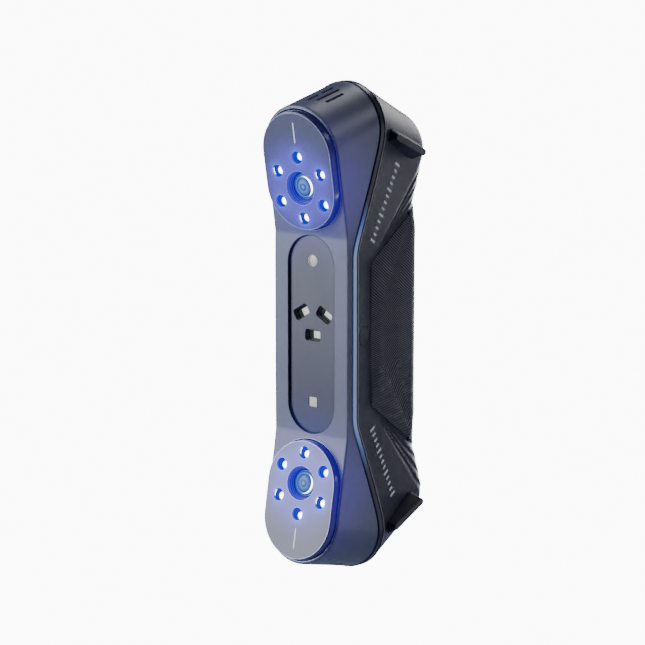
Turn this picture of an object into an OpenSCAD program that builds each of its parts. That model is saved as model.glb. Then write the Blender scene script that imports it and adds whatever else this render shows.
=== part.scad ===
// Handheld 3-D scanner: two tilted camera pods, a laser window between them and a grip behind.
// Row frame: X to the side, Y towards the holder's palm, Z along the body, millimetres.
// Y = 0 is the plane in which the shells meet at the two ends.

/* [Body] */
// Half width of the shells where they meet
half_w = 20.6; // [20:0.1:21.5]
// Height of the centre of each round end, at the seam
end_z = 87.1; // [86.5:0.1:88]
// Wall thickness of both shells
wall = 2; // [1.6:0.1:2.2]
// Width of the accent band between the shells
band_w = 3.4; // [2.5:0.1:4]
// Draft of the rear shell's sides in degrees
draft = 8; // [6:0.5:9]
// Radius of the rear shell's long back corners
back_r = 10.5; // [9:0.5:11]

/* [Camera pods] */
// Inward tilt of each camera pod in degrees
pod_tilt = 10; // [9:0.5:11]
// Y of the middle of the ring of lamps, on the cover's face
pod_y = -32.3; // [-33:0.1:-32]
// Distance of each camera axis from the middle of the body
pod_z = 64.1; // [63.5:0.1:65]
// Radius of the cover's face
face_r = 18.3; // [18:0.1:18.5]
// Distance between the centres of the cover's two round ends
face_len = 14.7; // [13:0.1:16]
// Radius of the circle on which the lamps sit
lamp_pcd_r = 13.4; // [13:0.1:13.6]

/* [Controls and sockets] */
// Travel of the three buttons
press = 0.8; // [0.4:0.1:0.8]
// Radius of the scan button
scan_r = 5; // [4:0.1:5]
// Radius of the plus and minus buttons
key_r = 3.5; // [3:0.1:3.7]
// Radius of the tapped hole for a quarter inch tripod screw
tripod_r = 2.6; // [2.5:0.05:2.7]

/* [Hidden] */
$fn = 64;
eps = 0.05;

// Seam of the rear shell: [height, Y], straight between the points
seam_path = [[0, -18.6], [36, -18.6], [40, -17.7], [67, -6.4], [80, -1.5], [86, 0]];
// Back surface: [height, Y]
back_path = [[0, 34.2], [41, 34.2], [47, 32.4], [54, 32.3], [60, 34.5], [75, 38], [120, 38]];
waist_y = -25.2;          // front face at the waist
lip_drop = 3.4;           // shell lip behind the cover's face
lip_w = 20.3;             // half width of the front shell at its lip
lip_z = 79.2;             // centre of the lip's round end
front_wall = 2.2;
seam_step = 0.6;          // the front shell sits this much below the band
window_y = -24;           // face of the window
window_r = 12.6;
window_half = 30.5;       // from the middle to the centre of the window's round end
flange_r = 14.2;
laser_z = 6;              // middle of the three lasers
laser_y = -18.8;          // face of the line lenses
lasers = [[-6.3, 3.1, 30], [6.3, 3.1, -30], [0, -6.4, 0]];   // x, height, turn
slot_size = [8.4, 5.1];
color_z = 32.2;
flash_z = -29.7;
bench_y = [-1.9, 1.1];
board_y = [6, 7.6];
screw_x = 12.5;
screw_z = 44;
plug_y = -13.4;
plug_r = 4.4;
insert_x = 11;
boss_floor = 1;
fan_y = -3;
fan_z = [86.5, 93.5];
fan_r = 11.4;
panel_r = 6.2;
panel_half = 27;
key_z = 13.5;
light_z = 25;
port_y = 12;
port_z = -95;             // mouth of the socket
foot_mid = [13.6, 80.3, 83.2];   // Y of a foot's middle, its height at the top and at the bottom
vent_r = 0.58;            // half width of a vent slot
foot_len = 23;
foot_x = 24.2;            // plane of the feet, when the scanner lies on its side
grip_front = -8.6;
grip_half = 31;
grip_slope = [0.55, 0.66]; // how the grip widens towards the palm, at its top and its bottom
arc_n = 12;
side_n = 22;
station_n = 2 * arc_n + side_n;

// ---------- outline of the body ----------
function seam_y(z) = lookup(abs(z), seam_path);
function back_y(z) = lookup(abs(z), back_path);
function front_y(z) = min(waist_y, pod_y + lip_drop / cos(pod_tilt) - (abs(z) - pod_z) * tan(pod_tilt));
function side_w(y, z) = half_w - tan(draft) * (y - seam_y(z));
function end_centre(y) = y < 0 ? end_z + y * (end_z - lip_z) / 31.5 : end_z - 0.33 * y;

// One point of a half outline: station i from the bottom end round the +X side to the top end
function half_point(i, w, zc) =
    i <= arc_n ? [w * sin(180 - 90 * i / arc_n), -zc + w * cos(180 - 90 * i / arc_n)]
    : i < arc_n + side_n ? [w, zc * (2 * (i - arc_n) / side_n - 1)]
    : [w * cos(90 * (i - arc_n - side_n) / arc_n), zc + w * sin(90 * (i - arc_n - side_n) / arc_n)];

// Radius of the rear shell's corner at height z, and the x and y of its centre
function corner_r(z) = lookup(abs(z), [[0, back_r], [54, back_r], [76, back_r - 2.7], [120, back_r - 2.7]]);
function corner(z) =
    let (cy = back_y(z) - corner_r(z))
    [side_w(cy, z) - corner_r(z) / cos(draft), cy];

// Half width and Y of the rear shell at height z, at level d: 0 seam, 1 end of the side, 2 back
function rear_level(d, z, shrink) =
    let (c = corner(z), r = corner_r(z) - shrink, a = draft + (90 - draft) * max(0, d - 1))
    let (edge = [c[0] + r * cos(draft), c[1] + r * sin(draft)])
    let (start = [side_w(seam_y(z), z) - shrink / cos(draft), seam_y(z)])
    d < 1 ? start + (edge - start) * d : [c[0] + r * cos(a), c[1] + r * sin(a)];

function rear_point(i, d, shrink) =
    let (zc = end_centre(rear_level(d, end_z, shrink)[1]))
    let (h = half_point(i, 10, zc)[1], z = abs(h) > zc ? sign(h) * zc : h)
    let (wy = rear_level(d, z, shrink), p = half_point(i, wy[0], zc))
    [p[0], wy[1], p[1]];

function mirrored(half) = concat(half, [for (i = [station_n - 1:-1:1]) [-half[i][0], half[i][1], half[i][2]]]);
function rear_ring(d, shrink) = mirrored([for (i = [0:station_n]) rear_point(i, d, shrink)]);
function shifted(ring, y) = [for (p = ring) [p[0], p[1] + y, p[2]]];
function front_ring(w, zc, dy) = mirrored([
    for (i = [0:station_n]) let (p = half_point(i, w, zc)) [p[0], front_y(p[1]) + dy, p[1]]
]);
function seam_ring(w, dy) = mirrored([
    for (i = [0:station_n]) let (p = half_point(i, w, end_z)) [p[0], seam_y(p[1]) + dy, p[1]]
]);

// Solid skinned over a list of rings, its first and last ring closed by strips across the body
module skin(rings) {
    n = 2 * station_n;
    last = (len(rings) - 1) * n;
    function across(i) = (n - i) % n;
    walls = [for (r = [0:len(rings) - 2], i = [0:n - 1]) let (j = (i + 1) % n)
        each [[r * n + i, r * n + j, (r + 1) * n + j], [r * n + i, (r + 1) * n + j, (r + 1) * n + i]]];
    first_cap = [for (i = [0:station_n - 1])
        each [[i, across(i + 1), i + 1], [i, across(i), across(i + 1)]]];
    last_cap = [for (i = [0:station_n - 1])
        each [[last + i, last + i + 1, last + across(i + 1)], [last + i, last + across(i + 1), last + across(i)]]];
    degenerate = function(f) f[0] == f[1] || f[1] == f[2] || f[0] == f[2];
    faces = [for (f = concat(walls, first_cap, last_cap)) if (!degenerate(f)) f];
    polyhedron(points = [for (r = rings) each r], faces = faces, convexity = 6);
}

rear_levels = [0, 0.5, 1, 1.2, 1.4, 1.6, 1.8, 2];
module rear_solid(shrink, lead) {
    skin(concat(
        [shifted(rear_ring(0, shrink), -lead)],
        [for (d = rear_levels) if (d > 0 || lead == 0) rear_ring(d, shrink)]
    ));
}
module front_solid(shrink, dy, lead) {
    skin([front_ring(lip_w - shrink, lip_z, dy), seam_ring(half_w - seam_step - shrink, lead)]);
}

// ---------- helpers ----------
// Local frame of a camera pod: x to the side, y outwards along the body, z out of the cover's face
module pod(side) {
    mirror([0, 0, side < 0 ? 1 : 0])
        translate([0, pod_y, pod_z])
            rotate([90 + pod_tilt, 0, 0])
                children();
}
module pod_shape(r, from, to) {
    translate([0, 0, from])
        linear_extrude(to - from)
            union() {
                circle(r);
                translate([0, face_len]) circle(r);
                translate([-r, 0]) square([2 * r, face_len]);
            }
}
// Upright stadium in the XZ plane, from one Y to another
module stadium(r, half, from, to) {
    translate([0, to, 0])
        rotate([90, 0, 0])
            linear_extrude(to - from)
                union() {
                    translate([0, half]) circle(r);
                    translate([0, -half]) circle(r);
                    translate([-r, -half]) square([2 * r, 2 * half]);
                }
}
// Rod along Y
module rod(r, x, z, from, to) {
    translate([x, to, z]) rotate([90, 0, 0]) cylinder(r = r, h = to - from);
}
// Plate across Y with round corners
module plate(size, r, x, z, turn, from, to) {
    translate([x, to, z])
        rotate([90, 0, 0])
            rotate([0, 0, turn])
                linear_extrude(to - from)
                    union() {
                        square([size[0] - 2 * r, size[1]], center = true);
                        square([size[0], size[1] - 2 * r], center = true);
                        for (sx = [-1, 1], sy = [-1, 1])
                            translate([sx * (size[0] / 2 - r), sy * (size[1] / 2 - r)]) circle(r);
                    }
}
module block(x, y, z) {
    translate([x[0], y[0], z[0]]) cube([x[1] - x[0], y[1] - y[0], z[1] - z[0]]);
}
module corners(dx, dz) {
    for (sx = [-1, 1], sz = [-1, 1]) translate([sx * dx, 0, sz * dz]) children();
}

// ---------- shells ----------
module front_shell() {
    color("#3c4250") difference() {
        union() {
            difference() {
                front_solid(0, 0, -band_w);
                front_solid(wall, front_wall, 5);
            }
            corners(screw_x, screw_z) rod(3.4, 0, 0, waist_y + 1, bench_y[0] - 0.1);
        }
        for (side = [-1, 1]) {
            pod(side) pod_shape(face_r + 1, -lip_drop - 2.2, 5);
            pod(side) pod_shape(face_r - 1, -12, 5);
        }
        stadium(window_r + 0.15, window_half, waist_y - 1, waist_y + 4);
        corners(screw_x, screw_z) rod(1.3, 0, 0, -14, 0);
        vents();
    }
}
// Slots through the two ends of the front shell, one of them in two halves
module vents() {
    slots = [[7.7, -24.4, -12.9], [4.2, -26.3, -11.4], [0.6, -27.9, -20.5], [0.6, -18.6, -10.8]];
    for (side = [-1, 1], s = slots)
        mirror([0, 0, side < 0 ? 1 : 0])
            translate([s[0], 0, 93]) {
                translate([0, s[1] + vent_r, 0]) cylinder(r = vent_r, h = 20, $fn = 24);
                translate([0, s[2] - vent_r, 0]) cylinder(r = vent_r, h = 20, $fn = 24);
                block([-vent_r, vent_r], [s[1] + vent_r, s[2] - vent_r], [0, 20]);
            }
}
module rear_shell() {
    color("#1b1d24") difference() {
        union() {
            difference() {
                rear_solid(0, 0);
                rear_solid(wall, 5);
            }
            intersection() {
                rear_solid(wall / 2, 0);
                corners(screw_x, screw_z) rod(3.4, 0, 0, bench_y[1] + 0.1, 40);
            }
            tripod_boss();
            for (sz = [-1, 1]) rod(2, 0, sz * 20, 25.4, 33);
        }
        corners(screw_x, screw_z) rod(1.4, 0, 0, 0, 40);
        corners(screw_x, screw_z) rod(2.5, 0, 0, bench_y[1] + 2.1, 40);
        tripod_space();
        for (sz = [-1, 1]) rod(0.8, 0, sz * 20, 25, 31);
        stadium(panel_r + 0.1, panel_half, 33.1, 40);
        rod(scan_r + 0.2, 0, 0, 30, 40);
        for (sz = [-1, 1]) rod(key_r + 0.2, 0, sz * key_z, 30, 40);
        plate([1.8, 5.4], 0.89, 0, light_z, 0, 30, 40);
        block([-7.9, 7.9], [port_y - 4.9, port_y + 4.9], [-115, -85]);
    }
}
module accent_band() {
    color("#6f88b4") difference() {
        skin([seam_ring(half_w - 0.15, -band_w + eps), seam_ring(half_w - 0.15, -eps)]);
        skin([seam_ring(half_w - 2.6, -band_w - 1), seam_ring(half_w - 2.6, 1)]);
    }
}
module grip_region(trim) {
    far = 60;
    run = far - grip_front - 1.4;
    translate([-40, 0, 0])
        rotate([90, 0, 90])
            linear_extrude(80)
                polygon([
                    [grip_front + trim, -grip_half + 1.8], [grip_front + trim, grip_half - 1.8],
                    [grip_front + 1.4, grip_half - trim + 0.6],
                    [far, grip_half + 0.6 + grip_slope[0] * run - trim],
                    [far, -grip_half - 0.6 - grip_slope[1] * run + trim],
                    [grip_front + 1.4, -grip_half - 0.6 + trim]
                ]);
}
module grip_sleeve() {
    color("#26272c") difference() {
        intersection() {
            rear_solid(-1, 0);
            grip_region(0);
        }
        rear_solid(-eps, 0);
        block([-50, 50], [-60, grip_front], [-60, 60]);
        stadium(panel_r + 0.6, panel_half, 20, 50);
    }
}
module foot(sx, sz) {
    mirror([sx < 0 ? 1 : 0, 0, 0]) mirror([0, 0, sz < 0 ? 1 : 0])
        color("#15161a") difference() {
            hull() {
                foot_bar(sz, foot_x - 0.5, 0.5, foot_len - 1.2, 2.4, 0);
                foot_bar(sz, 15, 1, foot_len + 0.8, 7.4, 0.5);
            }
            rear_solid(-eps, 0);
        }
}
module foot_bar(sz, x, thick, length, width, rise) {
    translate([x, foot_mid[0], sz > 0 ? foot_mid[1] : foot_mid[2]])
        rotate([-24, 0, 0]) translate([0, 0, rise])
            rotate([0, 90, 0])
                linear_extrude(thick)
                    offset(0.9, $fn = 20) square([width - 1.8, length - 1.8], center = true);
}

// ---------- camera pods ----------
module lens_cover(side) {
    color("#8a90a6") pod(side) difference() {
        union() {
            hull() {
                pod_shape(face_r, -0.1, 0);
                pod_shape(face_r + 0.75, -3.1, -3);
            }
            pod_shape(face_r + 0.8, -5.4, -3.05);
        }
        pod_shape(face_r - 1.5, -6, -2.4);
        translate([0, 0, -7]) cylinder(r = 7.5, h = 8);
        lamp_places() translate([0, 0, -7]) cylinder(r = 2.85, h = 8);
        translate([-0.35, 19.6, -7]) cube([0.7, 9.2, 8]);
    }
}
module lamp_places() {
    for (k = [0:5]) rotate([0, 0, 60 * k]) translate([0, lamp_pcd_r, 0]) children();
}
module index_light(side) {
    color("white") pod(side) translate([-0.3, 19.7, -2.2]) cube([0.6, 9, 2.15]);
}
module camera_barrel(side) {
    color("#14161c") pod(side) rotate_extrude() polygon([
        [5.2, -9], [5.2, -3.2], [5.8, -3.2], [5.8, -2.5], [6.3, -2.5], [6.3, -1.8], [6.8, -1.8],
        [6.8, -1.1], [7.2, -1.1], [7.2, -11.9], [6.3, -11.9], [6.3, -16], [4.4, -16], [4.4, -9]
    ]);
}
module camera_lens(side) {
    color("#b9c6dc") pod(side) translate([0, 0, -6.4]) intersection() {
        cylinder(r = 5.1, h = 5);
        translate([0, 0, -10]) sphere(r = 14);
    }
}
module camera_module(side) {
    color("#2b2d31") pod(side) difference() {
        union() {
            translate([-10.5, -10.5, -25]) cube([21, 21, 11]);
            translate([0, 0, -14]) cylinder(r = 8.6, h = 1.9);
        }
        translate([0, 0, -22]) cylinder(r = 6.5, h = 12);
        for (a = [45:90:315]) rotate([0, 0, a]) translate([0, 12.9, -26]) cylinder(r = 1.2, h = 14);
    }
}
module camera_board(side) {
    color("#0f5132") pod(side) difference() {
        translate([-12.5, -12.5, -26.5]) cube([25, 25, 1.4]);
        for (a = [45:90:315]) rotate([0, 0, a]) translate([0, 12.9, -28]) cylinder(r = 1.2, h = 4);
    }
}
module camera_screws() {
    color("silver") for (side = [-1, 1]) pod(side)
        for (a = [45:90:315]) rotate([0, 0, a]) translate([0, 12.9, 0]) {
            translate([0, 0, -30]) cylinder(r = 0.9, h = 16.5);
            translate([0, 0, -13.9]) cylinder(r = 1.7, h = 1.2);
            translate([0, 0, -14]) cylinder(r = 0.9, h = 0.3);
        }
}
module fill_leds(side) {
    color("#4d6bff") pod(side) lamp_places() {
        translate([0, 0, -7.4]) cylinder(r = 2.6, h = 1.2);
        translate([0, 0, -6.3]) cylinder(r = 2.2, h = 1.9);
        translate([0, 0, -4.5]) sphere(r = 2.2);
    }
}
module led_board(side) {
    color("#e8ecef") pod(side) difference() {
        pod_shape(16.2, -8.7, -7.5);
        translate([0, 0, -10]) cylinder(r = 7.8, h = 4);
    }
}

// ---------- laser window ----------
module window_panel() {
    color("#5a6075") difference() {
        union() {
            stadium(window_r, window_half, window_y, window_y + 2.2);
            stadium(flange_r, window_half, window_y + 1.1, window_y + 2.2);
        }
        for (l = lasers) plate(slot_size, 1.2, l[0], laser_z + l[1], l[2], -30, -10);
        rod(2.9, 0, color_z, -30, -10);
        plate([4.3, 4.3], 0.3, 0, flash_z, 0, -30, -10);
    }
}
module laser_baffle() {
    color("#0c0d12") difference() {
        plate([22.5, 23], 3, 0, laser_z + 0.2, 0, window_y + 2.3, laser_y - 0.1);
        for (l = lasers) plate(slot_size - [0.7, 0.7], 1, l[0], laser_z + l[1], l[2], -30, -10);
    }
}
module line_lenses() {
    color("#eef3ff") for (l = lasers)
        plate([4.4, 4.4], 0.4, l[0], laser_z + l[1], l[2], laser_y, laser_y + 1);
}
module laser_tube(l) {
    color("#b08d3c") union() {
        rod(3, l[0], laser_z + l[1], laser_y + 1.1, -8);
        rod(2.4, l[0], laser_z + l[1], -8.1, -5);
    }
}
module laser_block() {
    color("#9aa0a8") difference() {
        block([-9.8, 9.8], [laser_y + 1.3, bench_y[0] - 0.1], [laser_z - 11, laser_z + 8.5]);
        for (l = lasers) rod(3.08, l[0], laser_z + l[1], -20, -4.2);
    }
}
module color_camera() {
    color("#2b2d31") difference() {
        union() {
            plate([11, 11], 1, 0, color_z, 0, -21.6, -14);
            rod(2.75, 0, color_z, -23.7, -21);
        }
        rod(2.15, 0, color_z, -25, -20);
    }
}
module color_lens() {
    color("#dfe6f2") rod(2.1, 0, color_z, -23.4, -21.9);
}
module flash_lamp() {
    color("#f4f1d8") union() {
        plate([9, 9], 0.5, 0, flash_z, 0, -21.6, -20.4);
        plate([4, 4], 0.2, 0, flash_z, 0, -23.8, -21.5);
    }
}

// ---------- inside ----------
module optical_bench() {
    color("#a9adb3") difference() {
        union() {
            block([-15, 15], bench_y, [-56, 56]);
            for (side = [-1, 1]) pod(side) translate([-13.5, -14.5, -30.6]) cube([27, 29, 3]);
            corners(10.5, 33) rod(2, 0, 0, 0, board_y[0] - 0.1);
        }
        corners(screw_x, screw_z) rod(1.5, 0, 0, -10, 10);
        corners(10.5, 33) rod(0.95, 0, 0, -10, 10);
        for (side = [-1, 1]) pod(side) {
            for (a = [45:90:315]) rotate([0, 0, a]) translate([0, 12.9, -40]) cylinder(r = 1, h = 20);
            translate([-6.5, -6, -40]) cube([13, 6, 20]);
        }
        for (z = [-22, 22]) plate([14, 12], 3, 0, z, 0, -10, 10);
    }
}
module main_board() {
    color("#0f5132") difference() {
        block([-13, 13], board_y, [-38, 38]);
        corners(10.5, 33) rod(1, 0, 0, 0, 10);
    }
}
module main_chips() {
    y = board_y[1] + 0.02;
    color("#1c1c1f") union() {
        block([-6, 6], [y, y + 1.2], [12, 24]);
        block([-11, -4], [y, y + 1], [-6, 6]);
        block([3, 11], [y, y + 1], [-6, 6]);
        block([-5, 5], [y, y + 1], [-22, -12]);
        for (sx = [-1, 1], k = [0:3]) block([sx * 9 - 1, sx * 9 + 1], [y, y + 1.4], [-26 + 3 * k, -24.5 + 3 * k]);
        for (sz = [-1, 1]) block([-6, 6], [y, y + 1.6], [sz * 36 - 1.5, sz * 36 + 1.5]);
    }
}
module heat_sink() {
    y = board_y[1] + 1.3;
    color("#c2c6cc") union() {
        block([-8.5, 8.5], [y, y + 2], [9, 28]);
        for (k = [0:6]) block([-8.4 + 2.7 * k - 0.1, -7.7 + 2.7 * k], [y + 1.9, y + 8], [9, 28]);
    }
}
module fan_frame() {
    z = fan_z[0];
    color("#17181c") translate([0, fan_y, 0]) union() {
        difference() {
            block([-12, 12], [-12, 12], fan_z);
            translate([0, 0, z - 1]) cylinder(r = fan_r, h = 10);
            corners_flat(10.3) translate([0, 0, z - 1]) cylinder(r = 1.1, h = 10);
        }
        translate([0, 0, z]) cylinder(r = 5, h = 0.8);
        for (a = [45:90:315]) rotate([0, 0, a]) block([4.5, 12.5], [-0.7, 0.7], [z, z + 0.8]);
        translate([0, 0, z]) cylinder(r = 1, h = 5.6);
    }
}
module corners_flat(d) {
    for (sx = [-1, 1], sy = [-1, 1]) translate([sx * d, sy * d, 0]) children();
}
module fan_rotor() {
    z = fan_z[0] + 1.2;
    color("#2a2c31") translate([0, fan_y, 0]) difference() {
        union() {
            translate([0, 0, z]) cylinder(r = 5.2, h = 5.4);
            for (a = [0:360 / 7:359])
                rotate([0, 0, a])
                    translate([7.9, 0, z + 2.7])
                        rotate([38, 0, 0])
                            cube([6, 0.7, 6.2], center = true);
        }
        translate([0, 0, z - 1]) cylinder(r = 1.06, h = 5.8);
    }
}
module port_frame() {
    color("#101115") difference() {
        plate_z([15.4, 9.4], 2, [port_z - 4.5, port_z + 4]);
        plate_z([13, 7], 1.6, [port_z - 6, port_z]);
        plate_z([9.1, 3.4], 1.6, [port_z - 1, port_z + 8]);
    }
}
// Plate across Z with round corners, at the socket
module plate_z(size, r, z) {
    translate([0, port_y, z[0]])
        linear_extrude(z[1] - z[0])
            union() {
                square([size[0] - 2 * r, size[1]], center = true);
                square([size[0], size[1] - 2 * r], center = true);
                for (sx = [-1, 1], sy = [-1, 1])
                    translate([sx * (size[0] / 2 - r), sy * (size[1] / 2 - r)]) circle(r);
            }
}
module usb_socket() {
    color("silver") union() {
        difference() {
            plate_z([8.94, 3.2], 1.5, [port_z + 0.1, port_z + 7.4]);
            plate_z([8.3, 2.56], 1.2, [port_z - 1, port_z + 6.4]);
        }
        block([-3.3, 3.3], [port_y - 0.35, port_y + 0.35], [port_z + 1.2, port_z + 6.6]);
    }
}
module usb_board() {
    color("#0f5132") block([-8, 8], [port_y + 1.7, port_y + 2.9], [port_z + 4.5, port_z + 26]);
}

// ---------- controls ----------
module control_panel() {
    color("#22242b") difference() {
        stadium(panel_r, panel_half, 33.15, 34.5);
        rod(scan_r + 0.2, 0, 0, 30, 40);
        for (sz = [-1, 1]) rod(key_r + 0.2, 0, sz * key_z, 30, 40);
        plate([1.8, 5.4], 0.89, 0, light_z, 0, 30, 40);
    }
}
module button(r, z, top) {
    union() {
        rod(r, 0, z, 30.5, top);
        rod(r + 0.8, 0, z, 30.4, 31.6);
        rod(1.5, 0, z, 29.3, 30.5);
    }
}
module button_board() {
    color("#0f5132") difference() {
        plate([11.5, 62], 1.5, 0, 0, 0, 24, 25.3);
        for (sz = [-1, 1]) rod(1.1, 0, sz * 20, 20, 28);
    }
}
module button_switches() {
    color("#c9ccd2") for (z = [-key_z, 0, key_z]) union() {
        plate([6, 6], 0.4, 0, z, 0, 25.35, 27.9);
        rod(1.4, 0, z, 27.8, 28.4);
    }
}
module status_light() {
    color("#7dff9b") plate([1.6, 5.2], 0.79, 0, light_z, 0, 29, 34.6);
}

// ---------- tripod socket ----------
module tripod_boss() {
    start = insert_x - 0.05 - boss_floor;
    translate([start, plug_y, 0]) rotate([0, 90, 0]) cylinder(r = 4.9, h = 18.4 - start);
}
module tripod_space() {
    translate([insert_x - 0.05, plug_y, 0]) rotate([0, 90, 0]) {
        cylinder(r = 3.95, h = 6.55);
        cylinder(r = 3.3, h = 20);
        translate([0, 0, 7.25]) cylinder(r = plug_r + 0.15, h = 10);
    }
}
module tripod_insert() {
    color("#b58a3a") translate([insert_x, plug_y, 0]) rotate([0, 90, 0]) difference() {
        cylinder(r = 3.9, h = 6.4);
        translate([0, 0, -1]) cylinder(r = tripod_r, h = 9);
    }
}
module tripod_plug() {
    color("#24262e") difference() {
        translate([18.25, plug_y, 0]) rotate([0, 90, 0]) cylinder(r = plug_r, h = 4);
        translate([side_w(plug_y, 0), plug_y, 0])
            rotate([0, 0, draft])
                translate([0, -15, -15])
                    cube([10, 30, 30]);
    }
}

// ---------- fasteners and flexes ----------
module shell_screws() {
    y = bench_y[1] + 2.15;
    color("silver") corners(screw_x, screw_z) difference() {
        union() {
            rod(1.2, 0, 0, -11, y + 0.1);
            rod(2.2, 0, 0, y, y + 1.8);
        }
        rod(0.8, 0, 0, y + 0.8, y + 3);
    }
}
module board_screws() {
    y = board_y[1] + 0.05;
    color("silver") corners(10.5, 33) union() {
        rod(0.9, 0, 0, -0.5, y + 0.1);
        rod(1.7, 0, 0, y, y + 1.2);
    }
}
module keypad_screws() {
    color("silver") for (sz = [-1, 1]) union() {
        rod(0.75, 0, sz * 20, 23.9, 30);
        rod(1.5, 0, sz * 20, 22.9, 23.95);
    }
}
// Flat flex, drawn as a ribbon of straight runs in the YZ plane
module ribbon(path, width) {
    thick = 0.3;
    translate([-width / 2, 0, 0])
        rotate([90, 0, 90])
            linear_extrude(width)
                polygon(concat(path, [for (i = [len(path) - 1:-1:0]) path[i] + [thick, 0.3 * thick]]));
}
module camera_flex(side) {
    color("#c77a2a") mirror([0, 0, side < 0 ? 1 : 0])
        ribbon([[-4.9, 65.6], [3.6, 64.2], [3.6, 50], [5, 44], [10.4, 40.5], [10.4, 36.2]], 9);
}
module keypad_flex() {
    color("#c77a2a") ribbon([[9.6, -35.8], [11.5, -35], [18, -30], [23.2, -28.4]], 6);
}

front_shell();
rear_shell();
accent_band();
grip_sleeve();
window_panel();
laser_baffle();
lens_cover(1);  // lens_cover_top
lens_cover(-1);  // lens_cover_bottom
index_light(1);  // index_light_top
index_light(-1);  // index_light_bottom
camera_barrel(1);  // camera_barrel_top
camera_barrel(-1);  // camera_barrel_bottom
camera_lens(1);  // camera_lens_top
camera_lens(-1);  // camera_lens_bottom
camera_module(1);  // camera_module_top
camera_module(-1);  // camera_module_bottom
camera_board(1);  // camera_board_top
camera_board(-1);  // camera_board_bottom
fill_leds(1);  // fill_leds_top
fill_leds(-1);  // fill_leds_bottom
led_board(1);  // led_board_top
led_board(-1);  // led_board_bottom
laser_tube(lasers[0]);  // laser_left
laser_tube(lasers[1]);  // laser_right
laser_tube(lasers[2]);  // laser_lower
line_lenses();
laser_block();
color_camera();
color_lens();
flash_lamp();
optical_bench();
main_board();
main_chips();
heat_sink();
fan_frame();
fan_rotor();
usb_socket();
port_frame();
usb_board();
control_panel();
button_board();
button_switches();
color("#3f5bd6") button(scan_r, 0, 35);  // scan_button
color("#3a3d47") button(key_r, key_z, 34.8);  // plus_button
color("#3a3d47") button(key_r, -key_z, 34.8);  // minus_button
status_light();
tripod_insert();
tripod_plug();
foot(1, 1);  // foot_top_right
foot(-1, 1);  // foot_top_left
foot(1, -1);  // foot_bottom_right
foot(-1, -1);  // foot_bottom_left
shell_screws();
camera_screws();
board_screws();
keypad_screws();
camera_flex(1);  // flex_top
camera_flex(-1);  // flex_bottom
keypad_flex();  // flex_keypad
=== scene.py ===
# Looks for the handheld scanner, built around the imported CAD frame. Metres, row frame:
# X to the side, Y from the lens faces towards the grip, Z along the body.
import math

import bmesh
import bpy
from mathutils import Matrix, Vector


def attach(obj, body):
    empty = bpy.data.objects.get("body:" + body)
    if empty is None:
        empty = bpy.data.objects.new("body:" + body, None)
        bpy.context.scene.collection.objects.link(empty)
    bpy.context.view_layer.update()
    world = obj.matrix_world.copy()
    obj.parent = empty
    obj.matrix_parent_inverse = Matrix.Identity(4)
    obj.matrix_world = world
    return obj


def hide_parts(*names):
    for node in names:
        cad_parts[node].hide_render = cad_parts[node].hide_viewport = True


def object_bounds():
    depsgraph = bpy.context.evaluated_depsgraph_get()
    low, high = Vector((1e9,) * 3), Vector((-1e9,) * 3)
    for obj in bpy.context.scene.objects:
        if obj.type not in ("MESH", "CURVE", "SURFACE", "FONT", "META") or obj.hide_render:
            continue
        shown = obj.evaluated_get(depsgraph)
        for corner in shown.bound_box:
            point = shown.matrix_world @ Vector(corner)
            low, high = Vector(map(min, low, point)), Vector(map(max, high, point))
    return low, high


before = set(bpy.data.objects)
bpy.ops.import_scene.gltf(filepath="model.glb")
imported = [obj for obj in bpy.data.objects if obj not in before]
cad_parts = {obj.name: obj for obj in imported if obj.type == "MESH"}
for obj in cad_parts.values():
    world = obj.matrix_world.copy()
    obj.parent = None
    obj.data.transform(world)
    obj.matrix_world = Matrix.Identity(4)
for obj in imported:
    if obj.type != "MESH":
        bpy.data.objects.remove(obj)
cad_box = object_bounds()

MM = 0.001

# ---------------------------------------------------------------- sizes, as in the CAD, in millimetres
HALF_W = 20.6
END_Z = 87.1
WALL = 2.0
BAND_W = 3.4
DRAFT = math.radians(8)
BACK_R = 10.5
BACK_R_PATH = [(0, BACK_R), (54, BACK_R), (76, BACK_R - 2.7), (120, BACK_R - 2.7)]
END_SLOPE = 0.33
END_RUN = 31.5
SEAM_STEP = 0.6
POD_TILT = math.radians(10)
POD_Y = -32.3
POD_Z = 64.1
FACE_R = 18.3
FACE_LEN = 14.7
LAMP_PCD_R = 13.4
LAMP_HOLE_R = 2.8
CAMERA_HOLE_R = 7.45
SEAM_PATH = [(0, -18.6), (36, -18.6), (40, -17.7), (67, -6.4), (80, -1.5), (86, 0)]
BACK_PATH = [(0, 34.2), (41, 34.2), (47, 32.4), (54, 32.3), (60, 34.5), (75, 38), (120, 38)]
WAIST_Y = -25.2
LIP_DROP = 3.4
LIP_W = 20.3
LIP_Z = 79.2
FRONT_WALL = 2.2
WINDOW_Y = -24.0
WINDOW_R = 12.6
WINDOW_HALF = 30.5
LASER_Z = 6.0
LASER_Y = -18.8
LASERS = [(-6.3, 3.1, 30), (6.3, 3.1, -30), (0, -6.4, 0)]
SLOT = (8.2, 4.9)
COLOR_Z = 32.2
FLASH_Z = -29.7
GRIP_FRONT = -8.6
GRIP_HALF = 31.0
GRIP_SLOPES = {1: 0.55, -1: 0.66}
GRIP_CHAMFER = 1.4
GRIP_STEP = 0.6
FAN_SLOPES = {1: 1.00, -1: 1.18}
PLUG_Y = -13.4
PLUG_R = 4.4
PANEL_R = 6.2
PANEL_HALF = 27.0
KEY_Z = 13.5
KEY_HOLES = [(5.2, 0), (3.7, KEY_Z), (3.7, -KEY_Z)]
KEY_CUT = (30, 40)
KEY_EDGE = 0.45
PANEL_Y = 34.5
LIGHT_Z = 25.0
FLUTES = 4
FLUTE_RUN = 12
FLUTE_DEPTH = 0.6
PORT_Y = 12.0
FOOT_Y = 13.6
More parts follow.
